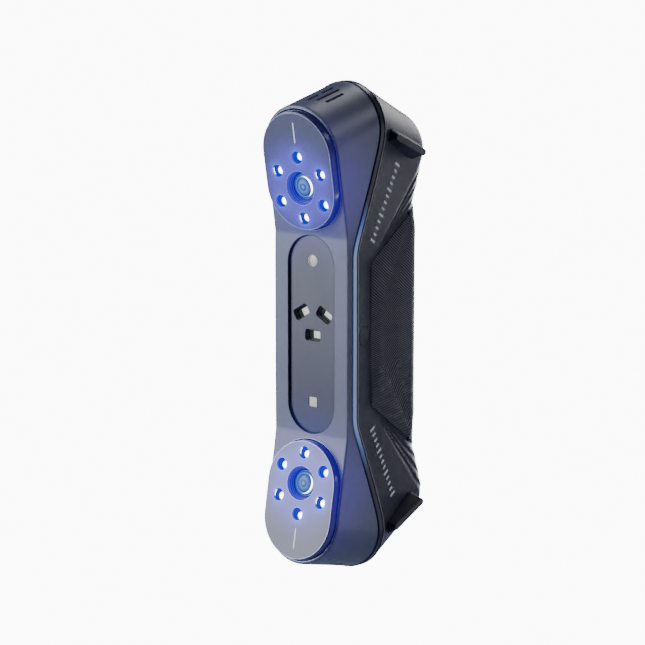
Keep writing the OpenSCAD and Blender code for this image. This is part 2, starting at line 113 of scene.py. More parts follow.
FOOT_Z = {1: 80.3, -1: 83.2}
FOOT_TILT = math.radians(24)
VENTS = [(7.7, -24.4, -12.9), (4.2, -26.3, -11.4), (0.6, -27.9, -20.5), (0.6, -18.6, -10.8)]
VENT_R = 0.70
VENT_END = 0.58

ARC_STEPS = 44
SIDE_STEPS = 300


# ---------------------------------------------------------------- outline
def lookup(z, path):
    z = abs(z)
    for (z0, y0), (z1, y1) in zip(path, path[1:]):
        if z <= z1:
            return y0 + (y1 - y0) * (z - z0) / (z1 - z0)
    return path[-1][1]


def soft(function, z, reach=3.0, steps=4):
    """A function of height with its corners rounded, by averaging over a short reach."""
    total = weight = 0
    for k in range(-steps, steps + 1):
        share = steps + 1 - abs(k)
        total += share * function(z + reach * k / steps)
        weight += share
    return total / weight


def seam_y(z):
    return soft(lambda h: lookup(h, SEAM_PATH), z)


def back_y(z):
    return soft(lambda h: lookup(h, BACK_PATH), z, 2.6)


def back_r(z):
    return lookup(z, BACK_R_PATH)


def front_y(z):
    def sharp(h):
        tilted = POD_Y + LIP_DROP / math.cos(POD_TILT) - (abs(h) - POD_Z) * math.tan(POD_TILT)
        return min(WAIST_Y, tilted)

    return soft(sharp, z, 0.9, 3)


def side_w(y, z):
    return HALF_W - math.tan(DRAFT) * (y - seam_y(z))


def end_centre(y):
    return END_Z + y * (END_Z - LIP_Z) / END_RUN if y < 0 else END_Z - END_SLOPE * y


def rear_level(d, z, shrink):
    """Half width and Y of the rear shell: d is 0 at the seam, 1 where the side ends, 2 at the back."""
    corner = back_r(z)
    cy = back_y(z) - corner
    cx = side_w(cy, z) - corner / math.cos(DRAFT)
    r = corner - shrink
    edge = (cx + r * math.cos(DRAFT), cy + r * math.sin(DRAFT))
    if d < 1:
        start = (side_w(seam_y(z), z) - shrink / math.cos(DRAFT), seam_y(z))
        return tuple(s + (e - s) * d for s, e in zip(start, edge))
    a = DRAFT + (math.pi / 2 - DRAFT) * (d - 1)
    return cx + r * math.cos(a), cy + r * math.sin(a)


def quarter_turn(first, steps):
    return [math.pi / 2 * k / steps for k in range(first, steps + 1)]


def half_outline(w, zc):
    """Points from the bottom end round the +X side to the top end."""
    points = []
    for a in quarter_turn(0, ARC_STEPS):
        points.append((w * math.sin(a), -zc - w * math.cos(a)))
    for i in range(1, SIDE_STEPS):
        points.append((w, zc * (2 * i / SIDE_STEPS - 1)))
    for a in quarter_turn(0, ARC_STEPS):
        points.append((w * math.cos(a), zc + w * math.sin(a)))
    return points


def full_ring(half):
    return half + [(-x, y, z) for x, y, z in half[-2:0:-1]]


def rear_ring(d, shrink, carve=False):
    zc = end_centre(rear_level(d, END_Z, shrink)[1])
    half = []
    for x, z in half_outline(10, zc):
        w, y = rear_level(d, max(-zc, min(zc, z)), shrink)
        share = x / 10
        height = z if abs(z) <= zc else math.copysign(zc + (abs(z) - zc) / 10 * w, z)
        if carve:
            w -= fan_depth(y, height) * share
        half.append((w * share, y, height))
    return full_ring(half)


def front_ring(w, zc, dy):
    return full_ring([(x, front_y(z) + dy, z) for x, z in half_outline(w, zc)])


def seam_ring(w, dy):
    return full_ring([(x, seam_y(z) + dy, z) for x, z in half_outline(w, END_Z)])


def mix_rings(a, b, t):
    return [tuple(p + (q - p) * t for p, q in zip(u, v)) for u, v in zip(a, b)]


def fan_depth(y, z):
    """Depth of the fanned flutes beside the grip, on the rear shell's sides."""
    along = y - GRIP_FRONT - GRIP_CHAMFER
    if along <= 0.5:
        return 0
    end = 1 if z > 0 else -1
    slope = (abs(z) - GRIP_HALF - GRIP_STEP) / along
    t = (slope - GRIP_SLOPES[end]) / (FAN_SLOPES[end] - GRIP_SLOPES[end])
    if t < 0 or t > 1:
        return 0
    saw = (t * FLUTES) % 1
    edge = min(saw / 0.2, 1)
    grow = min(along / FLUTE_RUN, 1)
    return FLUTE_DEPTH * grow * (1 - saw) * edge


# ---------------------------------------------------------------- meshes
MERGE = 2e-6


def make_object(name, vertices, faces, scale=MM):
    mesh = bpy.data.meshes.new(name)
    mesh.from_pydata([tuple(c * scale for c in v) for v in vertices], [], faces)
    mesh.validate()
    piece = bpy.data.objects.new(name, mesh)
    bpy.context.scene.collection.objects.link(piece)
    return piece


def reshape(piece, change):
    bm = bmesh.new()
    bm.from_mesh(piece.data)
    change(bm)
    bm.to_mesh(piece.data)
    bm.free()
    return piece


def face_outwards(bm):
    bmesh.ops.recalc_face_normals(bm, faces=bm.faces)


def merge_points(bm):
    bmesh.ops.remove_doubles(bm, verts=bm.verts, dist=MERGE)
    face_outwards(bm)


def flatten_caps(bm):
    bmesh.ops.dissolve_limit(bm, angle_limit=math.radians(0.02), verts=bm.verts, edges=bm.edges)


def wall_faces(levels, n, closed):
    """Faces between neighbouring rings of n points, and from the last ring to the first if closed."""
    faces = []
    for a in range(levels if closed else levels - 1):
        b = (a + 1) % levels
        for i in range(n):
            j = (i + 1) % n
            faces.append((a * n + i, a * n + j, b * n + j, b * n + i))
    return faces


def skin(name, rings, closed=False, flat_caps=True):
    """Surface over a list of rings. Its ends are closed by strips across the body, or joined if closed."""
    n = len(rings[0])
    faces = wall_faces(len(rings), n, closed)
    if not closed:
        for base in (0, (len(rings) - 1) * n):
            for i in range(n // 2):
                strip = tuple(dict.fromkeys(base + k % n for k in (i, i + 1, n - i - 1, n - i)))
                if len(strip) > 2:
                    faces.append(strip)
    piece = make_object(name, [p for r in rings for p in r], faces)
    reshape(piece, merge_points)
    return reshape(piece, flatten_caps) if flat_caps else piece


def arc(r, start, turn, steps, cx=0.0, cy=0.0):
    """Points on a circle, from a start angle through a turn, in degrees."""
    angles = [math.radians(start + turn * i / steps) for i in range(steps + 1)]
    return [(cx + r * math.cos(a), cy + r * math.sin(a)) for a in angles]


def stadium(r, length, steps=48):
    """Round-ended ring in a plane: (across, along), its two centres at 0 and length."""
    return arc(r, 0, 180, steps, 0, length) + arc(r, 180, 180, steps)


def circle(r, steps=64):
    return arc(r, 0, 360, steps)[:-1]


def round_rect(w, h, r, steps=8):
    ring = []
    for k, (cx, cy) in enumerate(((1, 1), (-1, 1), (-1, -1), (1, -1))):
        ring += arc(r, 90 * k, 90, steps, cx * (w / 2 - r), cy * (h / 2 - r))
    return ring


def shifted(ring, u, v):
    return [(a + u, b + v) for a, b in ring]


def circles(sizes, steps=64):
    """Round rings for sweep, from (radius, height) pairs."""
    return [(circle(r, steps), h) for r, h in sizes]


def rects(sizes):
    """Rounded rectangles for sweep, from (width, height, corner radius, place) rows."""
    return [(round_rect(w, h, r), at) for w, h, r, at in sizes]


def sweep(name, rings, place, closed=False, capped=True):
    """Surface over flat rings, each (points, height); place turns (u, v, height) into the row frame."""
    n = len(rings[0][0])
    vertices = [place(u, v, h) for ring, h in rings for u, v in ring]
    faces = wall_faces(len(rings), n, closed)
    if capped and not closed:
        faces.append(tuple(range(n)))
        faces.append(tuple((len(rings) - 1) * n + i for i in range(n)))
    return reshape(make_object(name, vertices, faces), merge_points)


def prism(ring, start, end, place, name="cutter"):
    return sweep(name, [(ring, start), (ring, end)], place)


def pod_place(side):
    c, s = math.cos(POD_TILT), math.sin(POD_TILT)

    def place(u, v, w):
        return u, POD_Y - s * v - c * w, side * (POD_Z + c * v - s * w)

    return place


def pod_point(side, u, v, w):
    """The same in metres, for a material."""
    return tuple(c * MM for c in pod_place(side)(u, v, w))


def front_place(x=0.0, z=0.0, turn=0.0):
    """Ring heights are Y, from the front backwards; the ring is turned about its middle."""
    c, s = math.cos(math.radians(turn)), math.sin(math.radians(turn))

    def place(u, v, y):
        return x + c * u - s * v, y, z + s * u + c * v

    return place


def plug_place(u, v, h):
    return h, PLUG_Y + u, v


def port_place(u, v, h):
    return u, PORT_Y + v, h


def cut(piece, cutters):
    for cutter in cutters:
        modifier = piece.modifiers.new("cut", "BOOLEAN")
        modifier.operation = "DIFFERENCE"
        modifier.solver = "EXACT"
        modifier.object = cutter
    apply_modifiers(piece)
    for cutter in cutters:
        bpy.data.objects.remove(cutter)
    return piece


def apply_modifiers(piece):
    graph = bpy.context.evaluated_depsgraph_get()
    mesh = bpy.data.meshes.new_from_object(piece.evaluated_get(graph))
    piece.modifiers.clear()
    piece.data = mesh
    return piece


def bevel(piece, width):
    """Small rounding of the edges sharper than 50 degrees."""
    modifier = piece.modifiers.new("edges", "BEVEL")
    modifier.width = width * MM
    modifier.segments = 2
    modifier.limit_method = "ANGLE"
    modifier.angle_limit = math.radians(50)
    return apply_modifiers(piece)


def join(name, pieces):
    bm = bmesh.new()
    for piece in pieces:
        bm.from_mesh(piece.data)
    mesh = bpy.data.meshes.new(name)
    bm.to_mesh(mesh)
    bm.free()
    for piece in pieces:
        bpy.data.objects.remove(piece)
    joined = bpy.data.objects.new(name, mesh)
    bpy.context.scene.collection.objects.link(joined)
    return joined


def finish(piece, slot, material, *nodes, body="housing", angle=30, weighted=True):
    """Shade a piece, give it its material, tie it to its body and hide the CAD nodes it replaces."""
    for polygon in piece.data.polygons:
        polygon.use_smooth = True
    piece.data.set_sharp_from_angle(angle=math.radians(angle))
    if weighted:
        modifier = piece.modifiers.new("normals", "WEIGHTED_NORMAL")
        modifier.keep_sharp = True
        apply_modifiers(piece)
    piece.data.materials.clear()
    piece.data.materials.append(material)
    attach(piece, body)
    if nodes:
        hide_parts(*nodes)


# ---------------------------------------------------------------- materials
class Nodes:
    """Short way to build a node tree."""

    def __init__(self, name):
        self.material = bpy.data.materials.new(name)
        self.material.use_nodes = True
        self.tree = self.material.node_tree
        self.tree.nodes.clear()
        self.output = self.add("ShaderNodeOutputMaterial")
        self.shader = self.add("ShaderNodeBsdfPrincipled")
        self.put(self.shader.outputs["BSDF"], self.output.inputs["Surface"])
        self.place = self.add("ShaderNodeTexCoord").outputs["Object"]

    def add(self, kind, **settings):
        node = self.tree.nodes.new(kind)
        for key, value in settings.items():
            setattr(node, key, value)
        return node

    def put(self, value, socket):
        """Set a number or a colour on a socket, or link it."""
        if isinstance(value, (int, float)):
            socket.default_value = value
        elif isinstance(value, tuple):
            socket.default_value = (*value, 1)
        else:
            self.tree.links.new(value, socket)

    def connect(self, name, value):
        self.put(value, self.shader.inputs[name])

    def colour(self, value):
        self.connect("Base Color", value)

    def math(self, operation, a, b=0, clamp=False):
        node = self.add("ShaderNodeMath", operation=operation, use_clamp=clamp)
        self.put(a, node.inputs[0])
        self.put(b, node.inputs[1])
        return node.outputs[0]

    def noise(self, scale, detail=4.0, roughness=0.55):
        node = self.add("ShaderNodeTexNoise")
        node.inputs["Scale"].default_value = scale
        node.inputs["Detail"].default_value = detail
        node.inputs["Roughness"].default_value = roughness
        self.put(self.place, node.inputs["Vector"])
        return node.outputs["Fac"]

    def span(self, value, low, high, to_low=0.0, to_high=1.0, curve="LINEAR"):
        node = self.add("ShaderNodeMapRange", interpolation_type=curve)
        numbers = {"From Min": low, "From Max": high, "To Min": to_low, "To Max": to_high}
        for key, number in numbers.items():
            node.inputs[key].default_value = number
        self.put(value, node.inputs["Value"])
        return node.outputs["Result"]

    def ease(self, value, low, high, to_low=0.0, to_high=1.0):
        return self.span(value, low, high, to_low, to_high, "SMOOTHSTEP")

    def mix(self, factor, a, b):
        node = self.add("ShaderNodeMix", data_type="RGBA")
        for socket, value in zip((node.inputs[0], node.inputs[6], node.inputs[7]), (factor, a, b)):
            self.put(value, socket)
        return node.outputs[2]

    def vary(self, noise, low, high):
        """A number or a colour that wanders between two with a noise."""
        if isinstance(low, tuple):
            return self.mix(self.span(noise, 0.3, 0.7), low, high)
        return self.span(noise, 0.3, 0.7, low, high)

    def height(self):
        node = self.add("ShaderNodeSeparateXYZ")
        self.put(self.place, node.inputs[0])
        return node.outputs[2]

    def distance(self, point):
        node = self.add("ShaderNodeVectorMath", operation="DISTANCE")
        self.put(self.place, node.inputs[0])
        node.inputs[1].default_value = point
        return node.outputs["Value"]

    def from_pods(self, u, v, w):
        """Distance to this point of the nearer pod."""
        return self.math("MINIMUM", *[self.distance(pod_point(side, u, v, w)) for side in (1, -1)])

    def bump(self, scale, detail, strength, depth, roughness=0.55):
        node = self.add("ShaderNodeBump")
        node.inputs["Strength"].default_value = strength
        node.inputs["Distance"].default_value = depth
        self.put(self.noise(scale, detail, roughness), node.inputs["Height"])
        self.connect("Normal", node.outputs["Normal"])


SLOW_NOISE = 38
NO_LIGHT = (0, 0, 0)


def lighter(colour, share):
    return tuple(c + (1 - c) * share if share > 0 else c * (1 + share) for c in colour)


def grained(name, colour, roughness, grain=0.25, grain_scale=2600, vary=0.05, metallic=0.0, coat=0.0,
            glow=None, specular=0.5):
    """Moulded or painted surface: fine grain in the bump, slow variation in colour and roughness; an optional
    glow adds painted lamp light.
    """
    n = Nodes(name)
    slow = n.noise(SLOW_NOISE)
    n.colour(n.vary(slow, lighter(colour, -vary * 2), lighter(colour, vary)))
    n.connect("Roughness", n.span(slow, 0.25, 0.75, roughness - 0.04, roughness + 0.05))
    n.connect("Metallic", metallic)
    n.connect("Coat Weight", coat)
    n.connect("Coat Roughness", 0.12)
    n.connect("Specular IOR Level", specular)
    n.bump(grain_scale, 3, grain, 0.00006, 0.6)
    if glow:
        add_painted_lamp_light(n, *glow)
    return n.material


def near_lamps(n, reach):
    """1 in the middle of a pod, falling to 0 at this reach from it."""
    shares = [n.ease(n.distance(pod_point(side, 0, 0, -1)), 0.010, reach, 1, 0) for side in (1, -1)]
    return n.math("POWER", n.math("ADD", *shares, clamp=True), 1.7)


def add_painted_lamp_light(n, colour, strength, reach):
    """Painted light of the blue lamps on nearby surfaces, given as emission."""
    n.connect("Emission Color", n.mix(near_lamps(n, reach), NO_LIGHT, colour))
    n.connect("Emission Strength", strength)


def glowing(name, inner, outer, strength):
    n = Nodes(name)
    n.colour((0.02, 0.02, 0.02))
    n.connect("Emission Color", n.vary(n.noise(900, 2), outer, inner))
    n.connect("Emission Strength", strength)
    n.connect("Roughness", 0.25)
    return n.material


def band_material():
    """Metallic paint, steel blue along the waist and nearly black round the ends: the darkening towards the
    ends is painted shade of the recessed groove.
    """
    n = Nodes("band_metal")
    z = n.math("ABSOLUTE", n.height(), 0)
    slow = n.noise(SLOW_NOISE)
    flat = n.vary(slow, (0.25, 0.36, 0.62), (0.30, 0.42, 0.70))
    # painted shade: deeper blue, then nearly black, towards the ends of the band
    flat = n.mix(n.ease(z, 0.036, 0.052), flat, (0.08, 0.16, 0.46))
    n.colour(n.mix(n.ease(z, 0.044, 0.062), flat, (0.008, 0.010, 0.035)))
    n.connect("Roughness", n.vary(slow, 0.30, 0.38))
    n.connect("Metallic", 0.35)
    n.bump(3000, 2, 0.1, 0.00005)
    return n.material


def grip_material():
    """Ribbed rubber, paler on the crests than in the grooves: painted highlight on the crests and painted
    shade in the grooves.
    """
    n = Nodes("grip_rubber")
    crest = n.add("ShaderNodeAttribute", attribute_name="crest").outputs["Fac"]
    slow = n.noise(45)
    # painted light and shade of the ribs: pale on the crests, dark in the grooves
    rib_light_and_shade = n.math("MULTIPLY", n.ease(crest, 0.35, 0.9), n.vary(slow, 0.8, 1.0))
    n.colour(n.mix(rib_light_and_shade, (0.005, 0.006, 0.018), (0.14, 0.145, 0.175)))
    n.connect("Specular IOR Level", 0.25)
    n.connect("Roughness", n.vary(slow, 0.55, 0.62))
    n.bump(3400, 2, 0.15, 0.00005)
    return n.material


def lamp_centres():
    turns = [math.radians(60 * k) for k in range(6)]
    return [(-LAMP_PCD_R * math.sin(a), LAMP_PCD_R * math.cos(a)) for a in turns]


def cover_material():
    """Painted lens face with painted lamp light given as emission: a wide violet glow and a small blue halo
    round each lamp.
    """
    n = Nodes("cover_face")
    slow = n.noise(SLOW_NOISE)
    n.colour(n.vary(slow, (0.054, 0.060, 0.135), (0.060, 0.066, 0.145)))
    n.connect("Roughness", n.span(slow, 0.25, 0.75, 0.27, 0.34))
    n.connect("Coat Weight", 0.15)
    n.connect("Coat Roughness", 0.12)
    n.bump(3000, 3, 0.1, 0.00006, 0.6)
    nearest = 1.0
    for u, v in lamp_centres():
        nearest = n.math("MINIMUM", nearest, n.from_pods(u + 0.5, v + 0.2, 0))
    # painted lamp light: a small halo round each lamp and a wide glow round the pod
    halo = n.math("POWER", n.span(nearest, 0.0026, 0.0062, 1, 0), 1.6)
    glow = n.mix(near_lamps(n, 0.030), NO_LIGHT, (0.06, 0.042, 0.62))
    n.connect("Emission Color", n.mix(halo, glow, (0.05, 0.07, 1.0)))
    n.connect("Emission Strength", 1.0)
    return n.material


def barrel_material():
    """Baffles inside a camera opening, with painted blue lamp light given as emission; each groove darker
    than its crest, as painted shade.
    """
    n = Nodes("barrel_black")
    pitch = 0.00068
    wave = n.math("SINE", n.math("MULTIPLY", n.from_pods(0, 0, 30), 2 * math.pi / pitch))
    slow = n.noise(300, 3)
    n.colour(n.vary(slow, (0.004, 0.005, 0.03), (0.007, 0.009, 0.06)))
    n.connect("Roughness", n.vary(slow, 0.40, 0.48))
    n.connect("Specular IOR Level", 0.25)
    # painted light and shade: bright blue on the crests, dark blue in the grooves
    n.connect("Emission Color", n.mix(n.ease(wave, -0.6, 0.8), (0.0, 0.0, 0.16), (0.03, 0.02, 0.80)))
    n.connect("Emission Strength", 1.15)
    return n.material


def window_material():
    """Smoked panel, pale at the top and dark blue-grey lower down as a painted reflection, with painted lamp
    light near the pods.
    """
    n = Nodes("window_panel")
    slow = n.noise(60)
    # painted reflection: paler towards the top, dark blue-grey lower down
    base = n.mix(n.ease(n.height(), -0.040, 0.030), (0.012, 0.017, 0.060), (0.034, 0.040, 0.076))
    n.colour(n.mix(n.vary(slow, 0, 0.10), base, (0.06, 0.066, 0.09)))
    n.connect("Roughness", n.vary(slow, 0.30, 0.36))
    n.connect("Specular IOR Level", 0.42)
    n.bump(2800, 2, 0.08, 0.00005)
    # painted blue lamp light near the pods
    add_painted_lamp_light(n, (0.04, 0.05, 0.8), 0.22, 0.050)
    return n.material


def lamp_material(side):
    """Lamp window: saturated blue, a white hot spot on one side, on every other lamp a crescent of painted
    reflection too.
    """
    n = Nodes("lamp_" + ("top" if side > 0 else "bottom"))

    def ball(u, v, radius, soft):
        point = pod_point(side, u, v, -0.9)
        return n.ease(n.distance(point), (radius - soft) * MM, (radius + soft) * MM, 1, 0)

    white = 0
    for k, (u, v) in enumerate(lamp_centres()):
        spot = ball(u + 1.75, v + 0.55 - 0.2 * (k % 3), 1.55, 0.28)
        # painted reflection: a white crescent on the wall's edge
        if k % 2:
            outside = n.math("SUBTRACT", 1, ball(u + 0.2, v, 2.6, 0.1))
            crescent = n.math("MULTIPLY", outside, ball(u - 2.3, v - 0.5, 1.3, 0.3))
            spot = n.math("MAXIMUM", spot, crescent)
        white = n.math("MAXIMUM", white, spot)
    n.colour((0.0, 0.0, 0.05))
    n.connect("Emission Color", n.mix(white, (0.0, 0.0, 0.082), (1.0, 1.0, 1.0)))
    n.connect("Emission Strength", 9.0)
    n.connect("Roughness", 0.5)
    n.connect("Specular IOR Level", 0.05)
    return n.material


def lens_material():
    """Coated glass, glowing with painted light: rings of the elements behind it, and a pale crescent of
    painted reflection.
    """
    n = Nodes("coated_glass")
    depth = -2.6
    radius = n.from_pods(0, 0, depth)
    ramp = n.add("ShaderNodeValToRGB")
    n.put(n.span(radius, 0, 0.006), ramp.inputs[0])
    stops = [
        (0.0, (0.40, 0.60, 0.95)), (0.14, (0.18, 0.36, 0.85)), (0.24, (0.005, 0.03, 0.30)),
        (0.34, (0.14, 0.30, 0.80)), (0.56, (0.04, 0.12, 0.52)), (0.64, (0.0, 0.01, 0.22)),
        (0.72, (0.14, 0.30, 0.85)), (0.84, (0.01, 0.05, 0.40)), (0.97, (0.14, 0.32, 0.90)),
    ]
    elements = ramp.color_ramp.elements
    elements.remove(elements[1])
    elements[0].color = (*stops[0][1], 1)
    for position, colour in stops[1:]:
        elements.new(position).color = (*colour, 1)
    outer = n.ease(radius, 0.0043, 0.0048, 1, 0)
    inner = n.ease(n.from_pods(-0.9, -0.3, depth), 0.0046, 0.0050)
    # painted reflection: a pale crescent, bright in the emission
    crescent = n.math("MULTIPLY", outer, inner)
    glass = n.mix(crescent, ramp.outputs[0], (1.0, 1.0, 1.0))
    n.colour(n.mix(0.8, glass, (0.02, 0.035, 0.10)))
    n.connect("Roughness", n.vary(n.noise(420, 3), 0.16, 0.22))
    n.connect("Specular IOR Level", 0.1)
    n.connect("Emission Color", glass)
    n.connect("Emission Strength", n.span(crescent, 0, 1, 0.8, 8.0))
    return n.material


# ---------------------------------------------------------------- finishes
# the front shell gets painted blue lamp light near the pods
FRONT = grained("front_plastic", (0.078, 0.092, 0.165), 0.40, 0.16, 2400, 0.04, 0.05, 0.0,
                ((0.11, 0.05, 0.9), 0.24, 0.046))
REAR = grained("rear_plastic", (0.014, 0.016, 0.042), 0.46, 0.25, 2400, 0.04, specular=0.2)
BAND = band_material()
# pale line along the rear shell's edge at the seam: painted highlight
SEAM_HIGHLIGHT = grained("seam_painted_highlight", (0.34, 0.32, 0.36), 0.38, 0.1, 3000, 0.04)
# pale edge lines: painted highlight, with painted blue lamp light near the pods
FACE_EDGE_HIGHLIGHT = grained("face_edge_painted_highlight", (0.30, 0.34, 0.52), 0.30, 0.1, 3000, 0.04, 0.3, 0.0,
                    ((0.10, 0.10, 1.0), 0.5, 0.036))
GRIP = grip_material()
RUBBER = grained("black_rubber", (0.012, 0.013, 0.030), 0.6, 0.2, 3000, 0.08, specular=0.2)
RIDGE = grained("ridge_rubber", (0.034, 0.033, 0.040), 0.50, 0.2, 3000, 0.08, specular=0.4)
# the rim gets painted blue lamp light near the lamps
RIM = grained("cover_rim", (0.012, 0.012, 0.10), 0.16, 0.0, 2600, 0.05, 0.2, 0.6,
              ((0.06, 0.0, 0.9), 0.34, 0.042))
BLACK = grained("optical_black", (0.0035, 0.004, 0.008), 0.5, 0.1, 2600, 0.1, specular=0.25)
COVER = cover_material()
BARREL = barrel_material()
LINE_WHITE = glowing("index_white", (0.95, 0.96, 1.0), (0.85, 0.87, 0.95), 1.1)
STEEL = grained("steel", (0.55, 0.56, 0.58), 0.3, 0.1, 1800, 0.04, 1.0)
ALUMINIUM = grained("aluminium", (0.50, 0.52, 0.55), 0.38, 0.3, 1400, 0.04, 1.0)
BRASS = grained("brass", (0.60, 0.43, 0.17), 0.3, 0.15, 1600, 0.05, 1.0)
BOARD = grained("board_green", (0.012, 0.12, 0.06), 0.35, 0.1, 1400, 0.12, 0.0, 0.4)
WHITE_BOARD = grained("board_white", (0.7, 0.73, 0.8), 0.4, 0.1, 1400, 0.04, 0.0, 0.3)
CHIP = grained("chip_black", (0.018, 0.018, 0.022), 0.55, 0.3, 2200, 0.1)
FLEX = grained("polyimide", (0.50, 0.24, 0.05), 0.3, 0.1, 1500, 0.1, 0.0, 0.5)
TRIM = grained("trim_black", (0.016, 0.018, 0.024), 0.22, 0.08, 2600, 0.06, 0.0, 0.7)
KEY_BLUE = grained("key_blue", (0.045, 0.09, 0.42), 0.4, 0.2, 3000, 0.05, 0.0, 0.2)
KEY_GREY = grained("key_grey", (0.07, 0.078, 0.10), 0.42, 0.2, 3000, 0.05)
MARK = grained("mark_white", (0.80, 0.82, 0.86), 0.4, 0.05, 2600, 0.03)
STATUS = glowing("status_green", (0.4, 1.0, 0.5), (0.15, 0.9, 0.35), 1.6)
ANODISED = grained("black_anodised", (0.03, 0.032, 0.038), 0.4, 0.2, 2200, 0.06, 0.6)
WINDOW = window_material()
LENS = lens_material()
LAMPS = {side: lamp_material(side) for side in (1, -1)}
# glowing white: the flash lamp's phosphor, and painted light on the colour camera's lens
PHOSPHOR_AND_PAINTED_LENS_LIGHT = glowing("flash_phosphor_and_painted_lens_light", (0.95, 0.95, 0.90), (0.75, 0.76, 0.78), 0.7)
LINE_LENS = glowing("line_lens_glass", (0.95, 0.97, 1.0), (0.80, 0.84, 0.92), 0.9)


# ---------------------------------------------------------------- shells
def front_rings():
    """The front shell from its inner face, round the seam's edge, to the rounded edge of the face."""
    edge = 1.0
    lip = front_ring(LIP_W, LIP_Z, 0)
    w = HALF_W - SEAM_STEP
    seam = seam_ring(w, -BAND_W)
    rings = [front_ring(LIP_W - WALL, LIP_Z, FRONT_WALL), seam_ring(w - WALL, -BAND_W)]
    rings += [seam_ring(w - 0.25, -BAND_W), seam_ring(w - 0.07, -BAND_W - 0.07)]
    for k in range(13):
        rings.append(mix_rings(mix_rings(seam, lip, 0.012), mix_rings(seam, lip, 0.93), k / 12))
    start, inner = rings[-1], front_ring(LIP_W - edge, LIP_Z, 0)
    for k in range(1, 9):
        t = k / 8
        ring = []
        for p, c, q in zip(start, lip, inner):
            share = min(edge / (math.dist(p, c) or 1), 1)
            near = [b + (a - b) * share for a, b in zip(p, c)]
            ring.append(tuple((1 - t) ** 2 * x + 2 * t * (1 - t) * y + t * t * z
                              for x, y, z in zip(near, c, q)))
        rings.append(ring)
    return rings


def vent_cutters():
    cutters = []
    for side in (1, -1):
        for x, near, far in VENTS:
            ring = [(v, u) for u, v in stadium(VENT_R, far - near - 2 * VENT_END, 12)]

            def place(u, v, h):
                return x + v, near + VENT_END + u, side * h

            cutters.append(prism(ring, 93, 113, place))
    return cutters


def roll(ring_of, radius, place, face, drop, depth, back=1):
    """Rounded edge and wall of an opening: from the face at radius + drop, down to depth behind the face."""
    rings = []
    for a in quarter_turn(0, 6):
        rings.append((ring_of(radius + drop * (1 - math.sin(a))), face + back * drop * (1 - math.cos(a))))
    rings.append((ring_of(radius), face + back * depth))
    return sweep("edge", rings, place, capped=False)


def build_front():
    shell = skin("front_casing", front_rings())
    waist = front_place(0, -WINDOW_HALF)
    cutters = [prism(stadium(WINDOW_R + 0.45, 2 * WINDOW_HALF), -29, -18, waist)]
    for side in (1, -1):
        place = pod_place(side)
        cutters.append(prism(stadium(FACE_R + 1.2, FACE_LEN), -LIP_DROP - 2.2, 6, place))
        cutters.append(prism(stadium(FACE_R - 1, FACE_LEN), -12, 5, place))
    cut(shell, cutters + vent_cutters())
    pieces = [shell]
    for side in (1, -1):
        pieces.append(roll(lambda r: stadium(r, FACE_LEN), FACE_R + 1.0, pod_place(side),
                           -LIP_DROP, 0.2, 2.1, -1))
    pieces.append(roll(lambda r: stadium(r, 2 * WINDOW_HALF), WINDOW_R + 0.2, waist, WAIST_Y, 0.25, 2.3))
    finish(join("front_casing", pieces), "shell_front", FRONT, "front_shell")


def build_band():
    profile = [(0.75, -BAND_W + 0.05), (0.3, -BAND_W + 0.3), (0.15, -BAND_W + 0.55), (0.15, -0.65),
               (0.3, -0.45), (0.75, -0.2), (2.6, -0.05), (2.6, -BAND_W + 0.05)]
    # bead along the seam, pale as a painted highlight
    edge = [(0.5, -0.02), (0.12, -0.04), (0.0, 0.02), (0.0, 0.36), (0.5, 0.4)]
    for name, sizes, slot, material, nodes in (
            ("metal_band", profile, "band", BAND, ["accent_band"]),
            ("seam_edge", edge, "shell_rear", SEAM_HIGHLIGHT, [])):
        rings = [seam_ring(HALF_W - w, dy) for w, dy in sizes]
        finish(skin(name, rings, closed=True, flat_caps=False), slot, material, *nodes)


def build_rear():
    rings = [rear_ring(d, WALL) for d in (2, 1.5, 1, 0.5, 0)]
    rings.append([(x * 0.99, y, z * 0.9975) for x, y, z in rear_ring(0, 0)])
    side_levels = [0.006 + 0.994 * k / 60 for k in range(61)]
    back_levels = [1 + k / 16 for k in range(1, 17)]
    rings += [rear_ring(d, 0, carve=True) for d in side_levels + back_levels]
    shell = skin("rear_casing", rings)
    cutters = [
        prism(circle(PLUG_R + 0.12), 18.2, 30, plug_place),
        prism(circle(3.3), 8, 30, plug_place),
        prism(stadium(PANEL_R + 0.1, 2 * PANEL_HALF), 33.1, 40, front_place(0, -PANEL_HALF)),
        prism(round_rect(15.8, 9.8, 2.1), -115, -85, port_place),
    ]
    cutters += [prism(circle(r), *KEY_CUT, front_place(0, z)) for r, z in KEY_HOLES]
    cut(shell, cutters)
    finish(shell, "shell_rear", REAR, "rear_shell", angle=28)


# ---------------------------------------------------------------- camera pods
LENS_R = 5.55
LENS_TOP = -1.9
LENS_CURVE = 11.0
INDEX_V = 24.2
COVER_CUT = (-8, 3)
DOME_R = 2.74


def ring_line(ring_of, r, height, width):
    """Rings of a fine raised line round an opening: low outside, crest, low inside."""
    section = ((width, -0.12), (width * 0.7, 0.0), (-width * 0.7, 0.0), (-width, -0.12))
    return [(ring_of(r + across), height + rise) for across, rise in section]


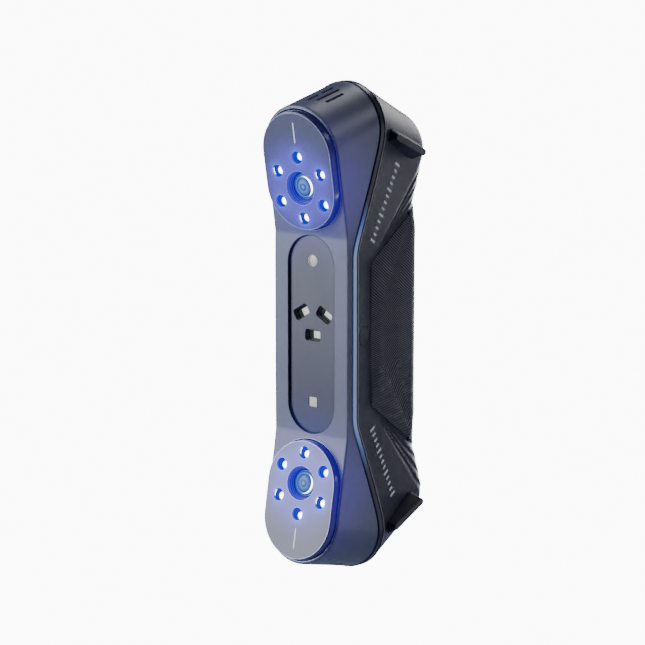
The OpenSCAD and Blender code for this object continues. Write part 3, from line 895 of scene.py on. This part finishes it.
def build_cover(side, where):
    place = pod_place(side)

    def round_end(r):
        return stadium(r, FACE_LEN)

    def lamp_rings():
        return [lambda r, u=u, v=v: shifted(circle(r, 40), u, v) for u, v in lamp_centres()]

    profile = [(-1.5, -1.6), (0, -1.6), (0, -0.35), (-0.05, -0.16), (-0.2, -0.04), (-0.42, 0.0)]
    face = sweep("cover_face", [(round_end(FACE_R + r), w) for r, w in profile], place)
    cutters = [prism(circle(CAMERA_HOLE_R + 0.25), *COVER_CUT, place)]
    cutters += [prism(ring_of(LAMP_HOLE_R + 0.18), *COVER_CUT, place) for ring_of in lamp_rings()]
    cutters.append(prism(shifted(round_rect(0.7, 9.2, 0.34, 5), 0, INDEX_V), *COVER_CUT, place))
    cut(face, cutters)
    parts = [face, roll(circle, CAMERA_HOLE_R, place, 0, 0.25, 1.4, -1)]
    parts += [roll(ring_of, LAMP_HOLE_R, place, 0, 0.18, 1.5, -1) for ring_of in lamp_rings()]
    finish(join("cover_" + where, parts), "lens_face", COVER, "lens_cover_" + where)

    profile = [(-1.6, -5.3), (0.62, -5.3), (0.62, -3.3), (0.58, -3.0), (0.26, -0.75), (0.14, -0.6),
               (0.02, -0.55), (-0.1, -0.55), (-0.1, -1.65), (-1.6, -1.65)]
    rings = [(stadium(FACE_R + r, FACE_LEN, 72), w) for r, w in profile]
    finish(sweep("rim_" + where, rings, place, closed=True), "lens_face", RIM, angle=25)

    # pale raised lines round the face edge and the holes: painted edge highlights
    lines = [ring_line(round_end, FACE_R - 0.16, 0.0, 0.2),
             ring_line(circle, CAMERA_HOLE_R + 0.12, 0.02, 0.12)]
    for u, v in lamp_centres():
        lines.append(ring_line(lambda r: shifted(circle(r), u, v), LAMP_HOLE_R + 0.08, 0.02, 0.09))
    lines = [sweep("line", rings, place, closed=True) for rings in lines]
    finish(join("cover_edges_" + where, lines), "lens_face", FACE_EDGE_HIGHLIGHT, angle=25)
    # pale line on the shell's lip: painted edge highlight
    lip = ring_line(round_end, FACE_R + 1.15, -LIP_DROP + 0.02, 0.13)
    finish(sweep("lip_edge_" + where, lip, place, closed=True), "shell_front", FACE_EDGE_HIGHLIGHT, angle=25)


def build_camera(side, where):
    place = pod_place(side)
    steps = [(7.35, -1.3)]
    for k in range(5):
        r, w = 7.0 - 0.35 * k, -1.3 - 0.7 * k
        steps += [(r, w), (r, w - 0.7)]
    steps[-1] = (5.6, -9.0)
    steps += [(4.4, -9), (4.4, -16), (6.3, -16), (6.3, -11.9), (7.35, -11.9)]
    barrel = sweep("barrel_" + where, circles(steps, 96), place, closed=True)
    finish(bevel(barrel, 0.1), "barrel", BARREL, "camera_barrel_" + where)

    sizes = [(LENS_R, -6.2)]
    for k in range(13):
        r = max(LENS_R * (12 - k) / 12, 0.02)
        sizes.append((r, LENS_TOP - LENS_CURVE + math.sqrt(LENS_CURVE ** 2 - r * r)))
    lens = sweep("lens_" + where, circles(sizes, 72), place)
    finish(lens, "lens_glass", LENS, "camera_lens_" + where, angle=60, weighted=False)


def build_lights(side, where):
    place = pod_place(side)
    line = prism(shifted(round_rect(0.6, 9, 0.28, 5), 0, INDEX_V), -2.0, -0.06, place, "index_line_" + where)
    finish(bevel(line, 0.05), "white_light", LINE_WHITE, "index_light_" + where)

    sizes = [(2.6, -7.4), (2.6, -4.0), (DOME_R, -3.6), (DOME_R, -1.1)]
    for a in quarter_turn(1, 6):
        sizes.append((max(DOME_R * math.cos(a), 0.05), -1.1 + 0.5 * math.sin(a)))
    domes = []
    for u, v in lamp_centres():
        domes.append(sweep("dome", [(shifted(ring, u, v), w) for ring, w in circles(sizes, 36)], place))
    finish(join("lamps_" + where, domes), "blue_led", LAMPS[side], "fill_leds_" + where,
           angle=50, weighted=False)


# ---------------------------------------------------------------- laser window
WINDOW_CUT = (-30, -15)


def build_window():
    length = 2 * WINDOW_HALF
    middle = front_place(0, -WINDOW_HALF)
    color_place, flash_place = front_place(0, COLOR_Z), front_place(0, FLASH_Z)
    profile = [(14.2, 2.2), (14.2, 1.1)]
    profile += [(WINDOW_R + r - 0.05, dy) for r, dy in ((0.1, 1.1), (0.1, 0.22), (0.04, 0.08), (-0.1, 0.0))]
    panel = sweep("window_glass", [(stadium(r, length), WINDOW_Y + dy) for r, dy in profile], middle)
    # dark ring at the window's edge: painted shade of the gap
    gap = [(stadium(WINDOW_R + r, length), WAIST_Y + dy)
           for r, dy in ((0.12, 0.7), (0.12, 0.10), (0.34, -0.03), (0.40, 0.10), (0.30, 0.7))]
    finish(sweep("window_gap_painted_shade", gap, middle, closed=True), "window", REAR)

    def slot_ring(grow):
        return round_rect(SLOT[0] + 2 * grow, SLOT[1] + 2 * grow, 1.25 + grow)

    def flash_ring(grow):
        return round_rect(4.3 + 2 * grow, 4.3 + 2 * grow, 0.3 + grow)

    well = [(0.0, 0.9), (-0.35, 0.9), (-0.35, 2.2), (-0.8, 2.2), (-0.8, 5.1), (0.3, 5.1), (0.3, 0.9)]
    lens = [(4.4, 4.0, 0.5, LASER_Y + 0.9), (4.4, 4.0, 0.5, LASER_Y - 1.5), (4.0, 3.6, 0.4, LASER_Y - 1.9)]
    cutters, edges, wells, lenses = [], [], [], []
    for x, dz, turn in LASERS:
        place = front_place(x, LASER_Z + dz, turn)
        cutters.append(prism(slot_ring(0.2), *WINDOW_CUT, place))
        edges.append(roll(slot_ring, 0, place, WINDOW_Y, 0.2, 1.0))
        rings = [(slot_ring(grow), WINDOW_Y + dy) for grow, dy in well]
        wells.append(sweep("well", rings, place, closed=True))
        lenses.append(sweep("lens", rects(lens), place))
    cutters.append(prism(circle(2.95), *WINDOW_CUT, color_place))
    edges.append(roll(circle, 2.8, color_place, WINDOW_Y, 0.15, 1.0))
    cutters.append(prism(round_rect(4.5, 4.5, 0.4), *WINDOW_CUT, flash_place))
    edges.append(roll(flash_ring, 0, flash_place, WINDOW_Y, 0.1, 1.0))
    cut(panel, cutters)
    finish(join("window_glass", [panel] + edges), "window", WINDOW, "window_panel")
    finish(bevel(join("laser_wells", wells), 0.07), "baffle", BLACK, "laser_baffle")
    finish(join("line_lens_set", lenses), "lens_glass", LINE_LENS, "line_lenses")

    eye = circles([(2.7, -21.2), (2.7, -23.95), (2.25, -23.95), (2.25, -21.2)])
    finish(sweep("color_ring", eye, color_place, closed=True), "camera_body", TRIM, "color_camera")
    radii = [2.2 * (8 - k) / 8 for k in range(9)]
    sizes = [(2.2, -21.9)] + [(max(r, 0.02), -23.55 - 0.35 * (1 - (r / 2.2) ** 2)) for r in radii]
    # the colour camera's lens glows white: painted reflection
    finish(sweep("color_glass", circles(sizes), color_place), "lens_glass", PHOSPHOR_AND_PAINTED_LENS_LIGHT, "color_lens",
                 angle=60, weighted=False)
    lamp = rects([(4.1, 4.1, 0.25, -21.5), (4.1, 4.1, 0.25, -23.7), (3.3, 3.3, 0.2, -23.75),
                  (3.1, 3.1, 0.2, -23.55)])
    finish(sweep("flash_square", lamp, flash_place), "flash", PHOSPHOR_AND_PAINTED_LENS_LIGHT, "flash_lamp")


# ---------------------------------------------------------------- grip and feet
RIB_PITCH = 0.92
RIB_PITCH_VALLEY = 1.35
RIB_DEPTH = 0.30
RIB_FALL = 0.44
RIB_CLIMB = 0.62
GRIP_ROWS = 520
VALLEY_START = -0.4
VALLEY_END = 14.2
VALLEY_DEPTH = 0.18
VALLEY_BLEND = 0.8


def unit(value):
    return max(0.0, min(1.0, value))


def grip_level(y_side, z):
    """Level d of the side point that lies at y_side, at this height."""
    seam = seam_y(z)
    edge = rear_level(0.9999, z, 0)[1]
    return max(0.0, min(0.9999, (y_side - seam) / (edge - seam)))


def grip_columns():
    """Where the columns of the grip lie: ("side", Y) up to the corner, then ("back", level)."""
    corner = rear_level(0.9999, 0, 0)[1]
    count = 90
    side = [("side", GRIP_FRONT + (corner - GRIP_FRONT) * k / count) for k in range(count + 1)]
    return side + [("back", 1 + k / 30) for k in range(1, 31)]


def grip_end(y, end):
    """Height of the grip's upper or lower boundary at a distance y from front to back."""
    along = y - GRIP_FRONT
    if along < GRIP_CHAMFER:
        return GRIP_HALF - 1.8 + (1.8 + GRIP_STEP) * along / GRIP_CHAMFER
    return GRIP_HALF + GRIP_STEP + GRIP_SLOPES[end] * (along - GRIP_CHAMFER)


def valley_limits(z):
    """Where the thumb valley starts and ends at this height; it slants away towards both ends."""
    shift = max(0.0, abs(z) - 14) * 0.72
    return VALLEY_START + shift, VALLEY_END + max(0.0, abs(z) - 20) * 0.55


def grip_ribs(y, z):
    """Crest of the ribs from 0 to 1: a herringbone whose middle run lies in the thumb valley."""
    start, end = valley_limits(z)
    fall = 2 * math.pi * (z + RIB_FALL * (y - start)) / RIB_PITCH
    climb = 2 * math.pi * (z - RIB_CLIMB * (y - start)) / RIB_PITCH_VALLEY
    inside = unit((y - start) / VALLEY_BLEND) * unit((end - y) / VALLEY_BLEND)
    return 0.5 + 0.5 * ((1 - inside) * math.cos(fall) + inside * math.cos(climb))


def grip_height(edge, y, z):
    """Height of the grip over the rear shell: rounded at its edge, with a valley for the thumb."""
    start, end = valley_limits(z)
    middle, half = (start + end) / 2, (end - start) / 2
    share = max(0.0, 1 - abs(y - middle) / half) if half > 0 else 0.0
    valley = VALLEY_DEPTH * math.sin(math.pi / 2 * min(1.0, share * 1.6)) ** 2
    swell = 0.42 + 0.56 * math.sin(math.pi / 2 * min(1.0, edge / 9))
    return (swell - valley * min(1.0, edge / 5)) * min(1, edge / 0.3) ** 0.5 + 0.02


def grip_lift(edge, y, z, rib):
    """Height of the ribbed surface; the ribs fade out at the grip's edge."""
    return grip_height(edge, y, z) - RIB_DEPTH * (1 - rib) * min(1, max(edge - 0.3, 0) / 0.5)


def grip_strips():
    """Columns of points from the grip's front edge to the flat back, and the rib crest at each point."""
    travelled = 0.0
    last = None
    strips, crests = [], []
    for kind, value in grip_columns():
        strip, crest = [], []
        y0 = value if kind == "side" else rear_level(value, 50, 0)[1]
        top, bottom = grip_end(y0, 1), -grip_end(y0, -1)
        point = rear_level(grip_level(value, 0) if kind == "side" else value, 0, 0)
        if last is not None:
            travelled += math.dist(point, last)
        last = point
        for k in range(GRIP_ROWS + 1):
            z = bottom + (top - bottom) * k / GRIP_ROWS
            level = grip_level(value, z) if kind == "side" else value
            x, y = rear_level(level, z, 0)
            edge = max(min(top - z, z - bottom, travelled + 0.05), 0)
            y_run = GRIP_FRONT + travelled
            rib = grip_ribs(y_run, z)
            lift = grip_lift(edge, y_run, z, rib)
            x1, y1 = rear_level(level, z, -1)
            strip.append((x + (x1 - x) * lift, y + (y1 - y) * lift, z))
            crest.append(rib)
        strips.append(strip)
        crests.append(crest)
    return strips, crests


def build_grip():
    strips, crests = grip_strips()
    across = 12
    flat, flat_crest = strips[-1], crests[-1]
    middle = []
    top, bottom = flat[-1][2], flat[0][2]
    for j in range(1, across):
        share = 1 - 2 * j / across
        strip = []
        for (x, y, z), rib in zip(flat, flat_crest):
            edge = max(min(top - z, z - bottom), 0)
            strip.append((x * share, back_y(z) + grip_lift(edge, 60, z, rib), z))
        middle.append(strip)
    whole = strips + middle + [[(-x, y, z) for x, y, z in s] for s in reversed(strips)]
    crest_values = [c for s in crests + [flat_crest] * len(middle) + crests[::-1] for c in s]
    rows = GRIP_ROWS + 1
    outer = [p for s in whole for p in s]
    inner = [(x * 0.97, y - 0.55 if y > 20 else y, z * 0.999) for x, y, z in outer]
    columns = len(whole)
    faces = []
    for a in range(columns - 1):
        for k in range(rows - 1):
            faces.append((a * rows + k, a * rows + k + 1, (a + 1) * rows + k + 1, (a + 1) * rows + k))
    base = len(outer)
    inner_faces = [tuple(base + i for i in reversed(f)) for f in faces]
    border = [a * rows for a in range(columns)] + [(columns - 1) * rows + k for k in range(1, rows)]
    border += [a * rows + rows - 1 for a in range(columns - 2, -1, -1)] + list(range(rows - 2, 0, -1))
    sides = [(a, b, base + b, base + a) for a, b in zip(border, border[1:] + border[:1])]
    sleeve = make_object("grip_cover", outer + inner, faces + inner_faces + sides)
    layer = sleeve.data.attributes.new("crest", "FLOAT", "POINT")
    layer.data.foreach_set("value", crest_values + [0.0] * len(inner))
    reshape(sleeve, face_outwards)
    opening = stadium(PANEL_R + 0.6, 2 * PANEL_HALF)
    cut(sleeve, [prism(opening, 20, 50, front_place(0, -PANEL_HALF))])
    finish(sleeve, "grip_rubber", GRIP, "grip_sleeve", angle=60, weighted=False)


def build_foot(sx, sz):
    """Rubber fin: broad rounded base, sloping flanks and a narrow flat ridge."""
    c, s = math.cos(FOOT_TILT), math.sin(FOOT_TILT)
    profile = [(7.4, 23.8, 15.0, 0.5), (7.3, 23.7, 18.6, 0.5), (6.9, 23.4, 18.9, 0.5), (3.0, 22.4, 23.6, 0.0)]
    ridge = [(2.9, 22.3, 23.4), (2.9, 22.3, 23.9), (2.6, 22.0, 24.15), (2.3, 21.7, 24.2)]
    rings = [(round_rect(w, length, min(w / 2 - 0.02, 1.7), 7), h) for w, length, h, _ in profile]
    ridge_rings = [(round_rect(w, length, w / 2 - 0.02, 7), h) for w, length, h in ridge]
    rises = {h: rise for _, _, h, rise in profile}

    def place(u, v, h):
        u += rises.get(h, 0)
        along, up = c * v + s * u, -s * v + c * u
        return sx * h, FOOT_Y + along, sz * (FOOT_Z[sz] + up)

    where = ("top" if sz > 0 else "bottom") + ("_right" if sx > 0 else "_left")
    finish(sweep("fin_" + where, rings, place), "rubber_black", RUBBER, "foot_" + where, angle=24)
    finish(sweep("fin_" + where + "_ridge", ridge_rings, place), "rubber_black", RIDGE, angle=24)


# ---------------------------------------------------------------- controls, socket, marks
def dished(name, r, z, top, dish):
    """Key cap with a shallow dish, on its stem."""
    sizes = [(1.5, 29.3), (1.5, 30.4), (r + 0.8, 30.4), (r + 0.8, 31.6), (r, 31.6), (r, top - KEY_EDGE)]
    for a in quarter_turn(1, 5):
        sizes.append((r - KEY_EDGE * (1 - math.cos(a)), top - KEY_EDGE * (1 - math.sin(a))))
    for k in range(1, 11):
        t = k / 10
        sizes.append((max((r - KEY_EDGE) * (1 - t), 0.02), top - dish * math.sin(math.pi / 2 * t) ** 1.5))
    return sweep(name, circles(sizes), front_place(0, z))


def build_controls():
    profile = [(0, 33.15), (0, 34.3), (0.06, 34.44), (0.2, PANEL_Y)]
    panel = sweep("control_strip", [(stadium(PANEL_R - g, 2 * PANEL_HALF), y) for g, y in profile],
                  front_place(0, -PANEL_HALF))
    cutters, edges = [], []
    for r, z in KEY_HOLES:
        cutters.append(prism(circle(r + 0.15), *KEY_CUT, front_place(0, z)))
        edges.append(roll(circle, r, front_place(0, z), PANEL_Y, 0.15, 1.3, -1))
    cutters.append(prism(round_rect(1.8, 5.4, 0.85), *KEY_CUT, front_place(0, LIGHT_Z)))
    cut(panel, cutters)
    finish(join("control_strip", [panel] + edges), "trim_black", TRIM, "control_panel")
    light = rects([(1.6, 5.2, 0.78, 29.2), (1.6, 5.2, 0.78, PANEL_Y), (1.3, 4.9, 0.63, 34.6)])
    finish(sweep("status_bar", light, front_place(0, LIGHT_Z)), "status", STATUS, "status_light")

    finish(dished("scan_cap", 5.0, 0, 35.0, 0.35), "key_scan", KEY_BLUE, "scan_button",
                 body="scan_key", angle=40)
    ring = circles([(3.4, 34.2), (3.4, 34.98), (3.2, 35.08), (2.9, 35.08), (2.7, 34.98), (2.7, 34.2)])
    finish(sweep("scan_ring", ring, front_place(), closed=True), "white_light", MARK, body="scan_key")
    for sign, word in ((1, "plus"), (-1, "minus")):
        place = front_place(0, sign * KEY_Z)
        body = word + "_key"
        finish(dished(word + "_cap", 3.5, sign * KEY_Z, 34.8, 0.25), "key_grey", KEY_GREY,
                     word + "_button", body=body, angle=40)
        bars = [prism(round_rect(3.0, 0.55, 0.25), 34.3, 34.72, place)]
        if sign > 0:
            bars.append(prism(round_rect(0.55, 3.0, 0.25), 34.3, 34.73, place))
        finish(join(word + "_sign", bars), "white_light", MARK, body=body)


def build_plug():
    """Rubber cover of the tripod socket with a shallow groove round its edge, and the boss behind it."""
    def place(u, v, h):
        return (h if h < 18.5 else side_w(PLUG_Y + u, 0) - (19.5 - h)), PLUG_Y + u, v

    profile = [(0, 18.25), (0, 19.25), (0.08, 19.42), (0.25, 19.5), (0.7, 19.5), (0.8, 19.42), (1.0, 19.42),
               (1.1, 19.5)]
    plug = sweep("socket_plug", circles([(PLUG_R - r, h) for r, h in profile]), place)
    finish(plug, "rubber_black", RUBBER, "tripod_plug", body="plug")
    cup = circles([(4.9, 9.95), (4.9, 18.1), (3.3, 18.1), (3.3, 17.5), (3.95, 17.5), (3.95, 10.95),
                   (0.02, 10.95)])
    finish(sweep("socket_boss", cup, plug_place), "shell_rear", REAR)


def build_port():
    rings = rects([
        (15.4, 9.4, 2.0, -91.5), (15.4, 9.4, 2.0, -99.2), (15.1, 9.1, 1.9, -99.45), (13.6, 7.6, 1.8, -99.45),
        (13.0, 7.0, 1.6, -98.9), (12.6, 6.6, 1.5, -95.3), (12.2, 6.2, 1.4, -95), (9.6, 3.9, 1.8, -95),
        (9.1, 3.4, 1.65, -94.8), (9.1, 3.4, 1.65, -91.5),
    ])
    finish(sweep("port_surround", rings, port_place, closed=True), "trim_black", TRIM, "port_frame")


def side_point(y, z, lift):
    x, _ = rear_level(grip_level(y, z), z, -lift)
    return x, y, z


def build_marks():
    """Plain white ticks, like those of a scale, where the side carries printing."""
    count, length = 13, 4.0
    runs = [((-6.8, 40.6), (11.0, 71.6)), ((-6.7, -41.9), (8.0, -73.6))]
    for side, where in ((1, "right"), (-1, "left")):
        marks = []
        for start, end in runs:
            run = math.dist(start, end)
            along = [(b - a) / run for a, b in zip(start, end)]
            for k in range(count):
                mid = [a + (b - a) * k / (count - 1) for a, b in zip(start, end)]
                tick = length if k % 4 == 0 else length * 0.66

                def place(u, v, h):
                    y = mid[0] + along[0] * v - along[1] * u
                    z = mid[1] + along[1] * v + along[0] * u
                    x, y, z = side_point(y, z, h)
                    return side * x, y, z

                marks.append(prism(round_rect(tick, 1.05, 0.4), -0.3, 0.05, place, "tick"))
        finish(join("side_ticks_" + where, marks), "white_light", MARK)


def dress_inside():
    """Finishes for the CAD nodes that stay as they are."""
    finishes = {
        ANODISED: ["camera_module_top", "camera_module_bottom"],
        BOARD: ["camera_board_top", "camera_board_bottom", "main_board", "usb_board", "button_board"],
        WHITE_BOARD: ["led_board_top", "led_board_bottom"],
        BRASS: ["laser_left", "laser_right", "laser_lower", "tripod_insert"],
        ALUMINIUM: ["laser_block", "optical_bench", "heat_sink"],
        CHIP: ["main_chips", "fan_frame", "fan_rotor"],
        STEEL: ["usb_socket", "button_switches", "shell_screws", "camera_screws", "board_screws",
                "keypad_screws"],
        FLEX: ["flex_top", "flex_bottom", "flex_keypad"],
    }
    for material, names in finishes.items():
        for name in names:
            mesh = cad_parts[name].data
            mesh.materials.clear()
            mesh.materials.append(material)


# ---------------------------------------------------------------- stage
CAMERA_AZIMUTH = math.radians(39.56)
CAMERA_ELEVATION = math.radians(10.45)
CAMERA_DISTANCE = 1.1016
CAMERA_LENS = 143.05
AIM_RIGHT = 0.00421
AIM_UP = 0.00518


def view_axes():
    az, el = CAMERA_AZIMUTH, CAMERA_ELEVATION
    right = Vector((math.cos(az), math.sin(az), 0))
    up = Vector((-math.sin(az) * math.sin(el), math.cos(az) * math.sin(el), math.cos(el)))
    back = Vector((math.sin(az) * math.cos(el), -math.cos(az) * math.cos(el), math.sin(el)))
    return right, up, back


def add_camera():
    right, up, back = view_axes()
    data = bpy.data.cameras.new("camera")
    data.lens = CAMERA_LENS
    data.sensor_width = 36
    data.clip_start = 0.05
    data.clip_end = 30
    camera = bpy.data.objects.new("camera", data)
    bpy.context.scene.collection.objects.link(camera)
    aim = Vector((0, WINDOW_Y * MM, 0))
    place = aim + right * AIM_RIGHT + up * AIM_UP + back * CAMERA_DISTANCE
    camera.matrix_world = Matrix.Translation(place) @ Matrix((right, up, back)).transposed().to_4x4()
    bpy.context.scene.camera = camera


def add_light(name, across, above, towards, size, power, colour=(1, 1, 1)):
    """Soft rectangle, placed by the view: metres to the right, up and towards the viewer."""
    right, up, back = view_axes()
    data = bpy.data.lights.new(name, "AREA")
    data.shape = "RECTANGLE"
    data.size, data.size_y = size
    data.energy = power
    data.color = colour
    light = bpy.data.objects.new(name, data)
    bpy.context.scene.collection.objects.link(light)
    place = right * across + up * above + back * towards
    turn = (-place).to_track_quat("-Z", "Y").to_matrix().to_4x4()
    light.matrix_world = Matrix.Translation(place) @ turn


def camera_ray_mix(tree, dark, bright, share=1.0):
    """Shader that shows the second one to the camera and lights the scene with the first."""
    path = tree.nodes.new("ShaderNodeLightPath")
    factor = tree.nodes.new("ShaderNodeMath")
    factor.operation = "MULTIPLY"
    factor.inputs[1].default_value = share
    mix = tree.nodes.new("ShaderNodeMixShader")
    tree.links.new(path.outputs["Is Camera Ray"], factor.inputs[0])
    tree.links.new(factor.outputs[0], mix.inputs[0])
    tree.links.new(dark, mix.inputs[1])
    tree.links.new(bright, mix.inputs[2])
    return mix.outputs[0]


FLOOR_DROP = 0.35
FLOOR_HALF = 14
PAPER_WHITE = 12.0
WORLD_FILL = 0.05


def add_stage():
    corners = ((-1, -1), (1, -1), (1, 1), (-1, 1))
    floor_z = cad_box[0][2] - FLOOR_DROP
    floor = make_object("floor", [(FLOOR_HALF * x, FLOOR_HALF * y, floor_z) for x, y in corners],
                        [(0, 1, 2, 3)], 1)
    material = bpy.data.materials.new("floor_white")
    material.use_nodes = True
    tree = material.node_tree
    shader = tree.nodes["Principled BSDF"]
    shader.inputs["Base Color"].default_value = (0.24, 0.27, 0.38, 1)
    shader.inputs["Roughness"].default_value = 0.9
    paper = tree.nodes.new("ShaderNodeEmission")
    paper.inputs["Strength"].default_value = PAPER_WHITE
    tree.links.new(camera_ray_mix(tree, shader.outputs[0], paper.outputs[0], 0.9),
                   tree.nodes["Material Output"].inputs["Surface"])
    floor.data.materials.append(material)
    world = bpy.data.worlds.new("studio")
    bpy.context.scene.world = world
    world.use_nodes = True
    tree = world.node_tree
    fill = tree.nodes["Background"]
    fill.inputs["Color"].default_value = (0.55, 0.62, 1, 1)
    fill.inputs["Strength"].default_value = WORLD_FILL
    paper = tree.nodes.new("ShaderNodeBackground")
    paper.inputs["Strength"].default_value = PAPER_WHITE
    tree.links.new(camera_ray_mix(tree, fill.outputs[0], paper.outputs[0]),
                   tree.nodes["World Output"].inputs["Surface"])


add_camera()
build_front()
build_band()
build_rear()
for pod_side in (1, -1):
    pod_name = "top" if pod_side > 0 else "bottom"
    build_cover(pod_side, pod_name)
    build_camera(pod_side, pod_name)
    build_lights(pod_side, pod_name)
build_window()
build_grip()
for foot_x in (1, -1):
    for foot_z in (1, -1):
        build_foot(foot_x, foot_z)
build_controls()
build_plug()
build_port()
build_marks()
dress_inside()
add_stage()
add_light("key", -1.45, 0.26, 0.36, (0.9, 1.35), 29, (0.92, 0.95, 1))
add_light("key_high", -1.40, 0.32, 0.36, (0.5, 0.3), 3.5, (0.92, 0.94, 1))
add_light("top_back", 0.38, 1.15, -0.7, (0.4, 0.35), 5)
add_light("behind", 0.62, 0.20, -1.08, (0.5, 0.7), 15)
add_light("behind_low", 0.45, -0.50, -1.1, (0.3, 0.4), 8)
add_light("right", 1.3, -0.14, -0.12, (0.3, 0.8), 2.4)
add_light("rim_spark", 1.15, 0.78, 0.15, (0.2, 0.3), 2.6)
add_light("rim_line", 1.16, -0.24, 0.55, (0.35, 0.9), 2.0, (0.75, 0.75, 1))
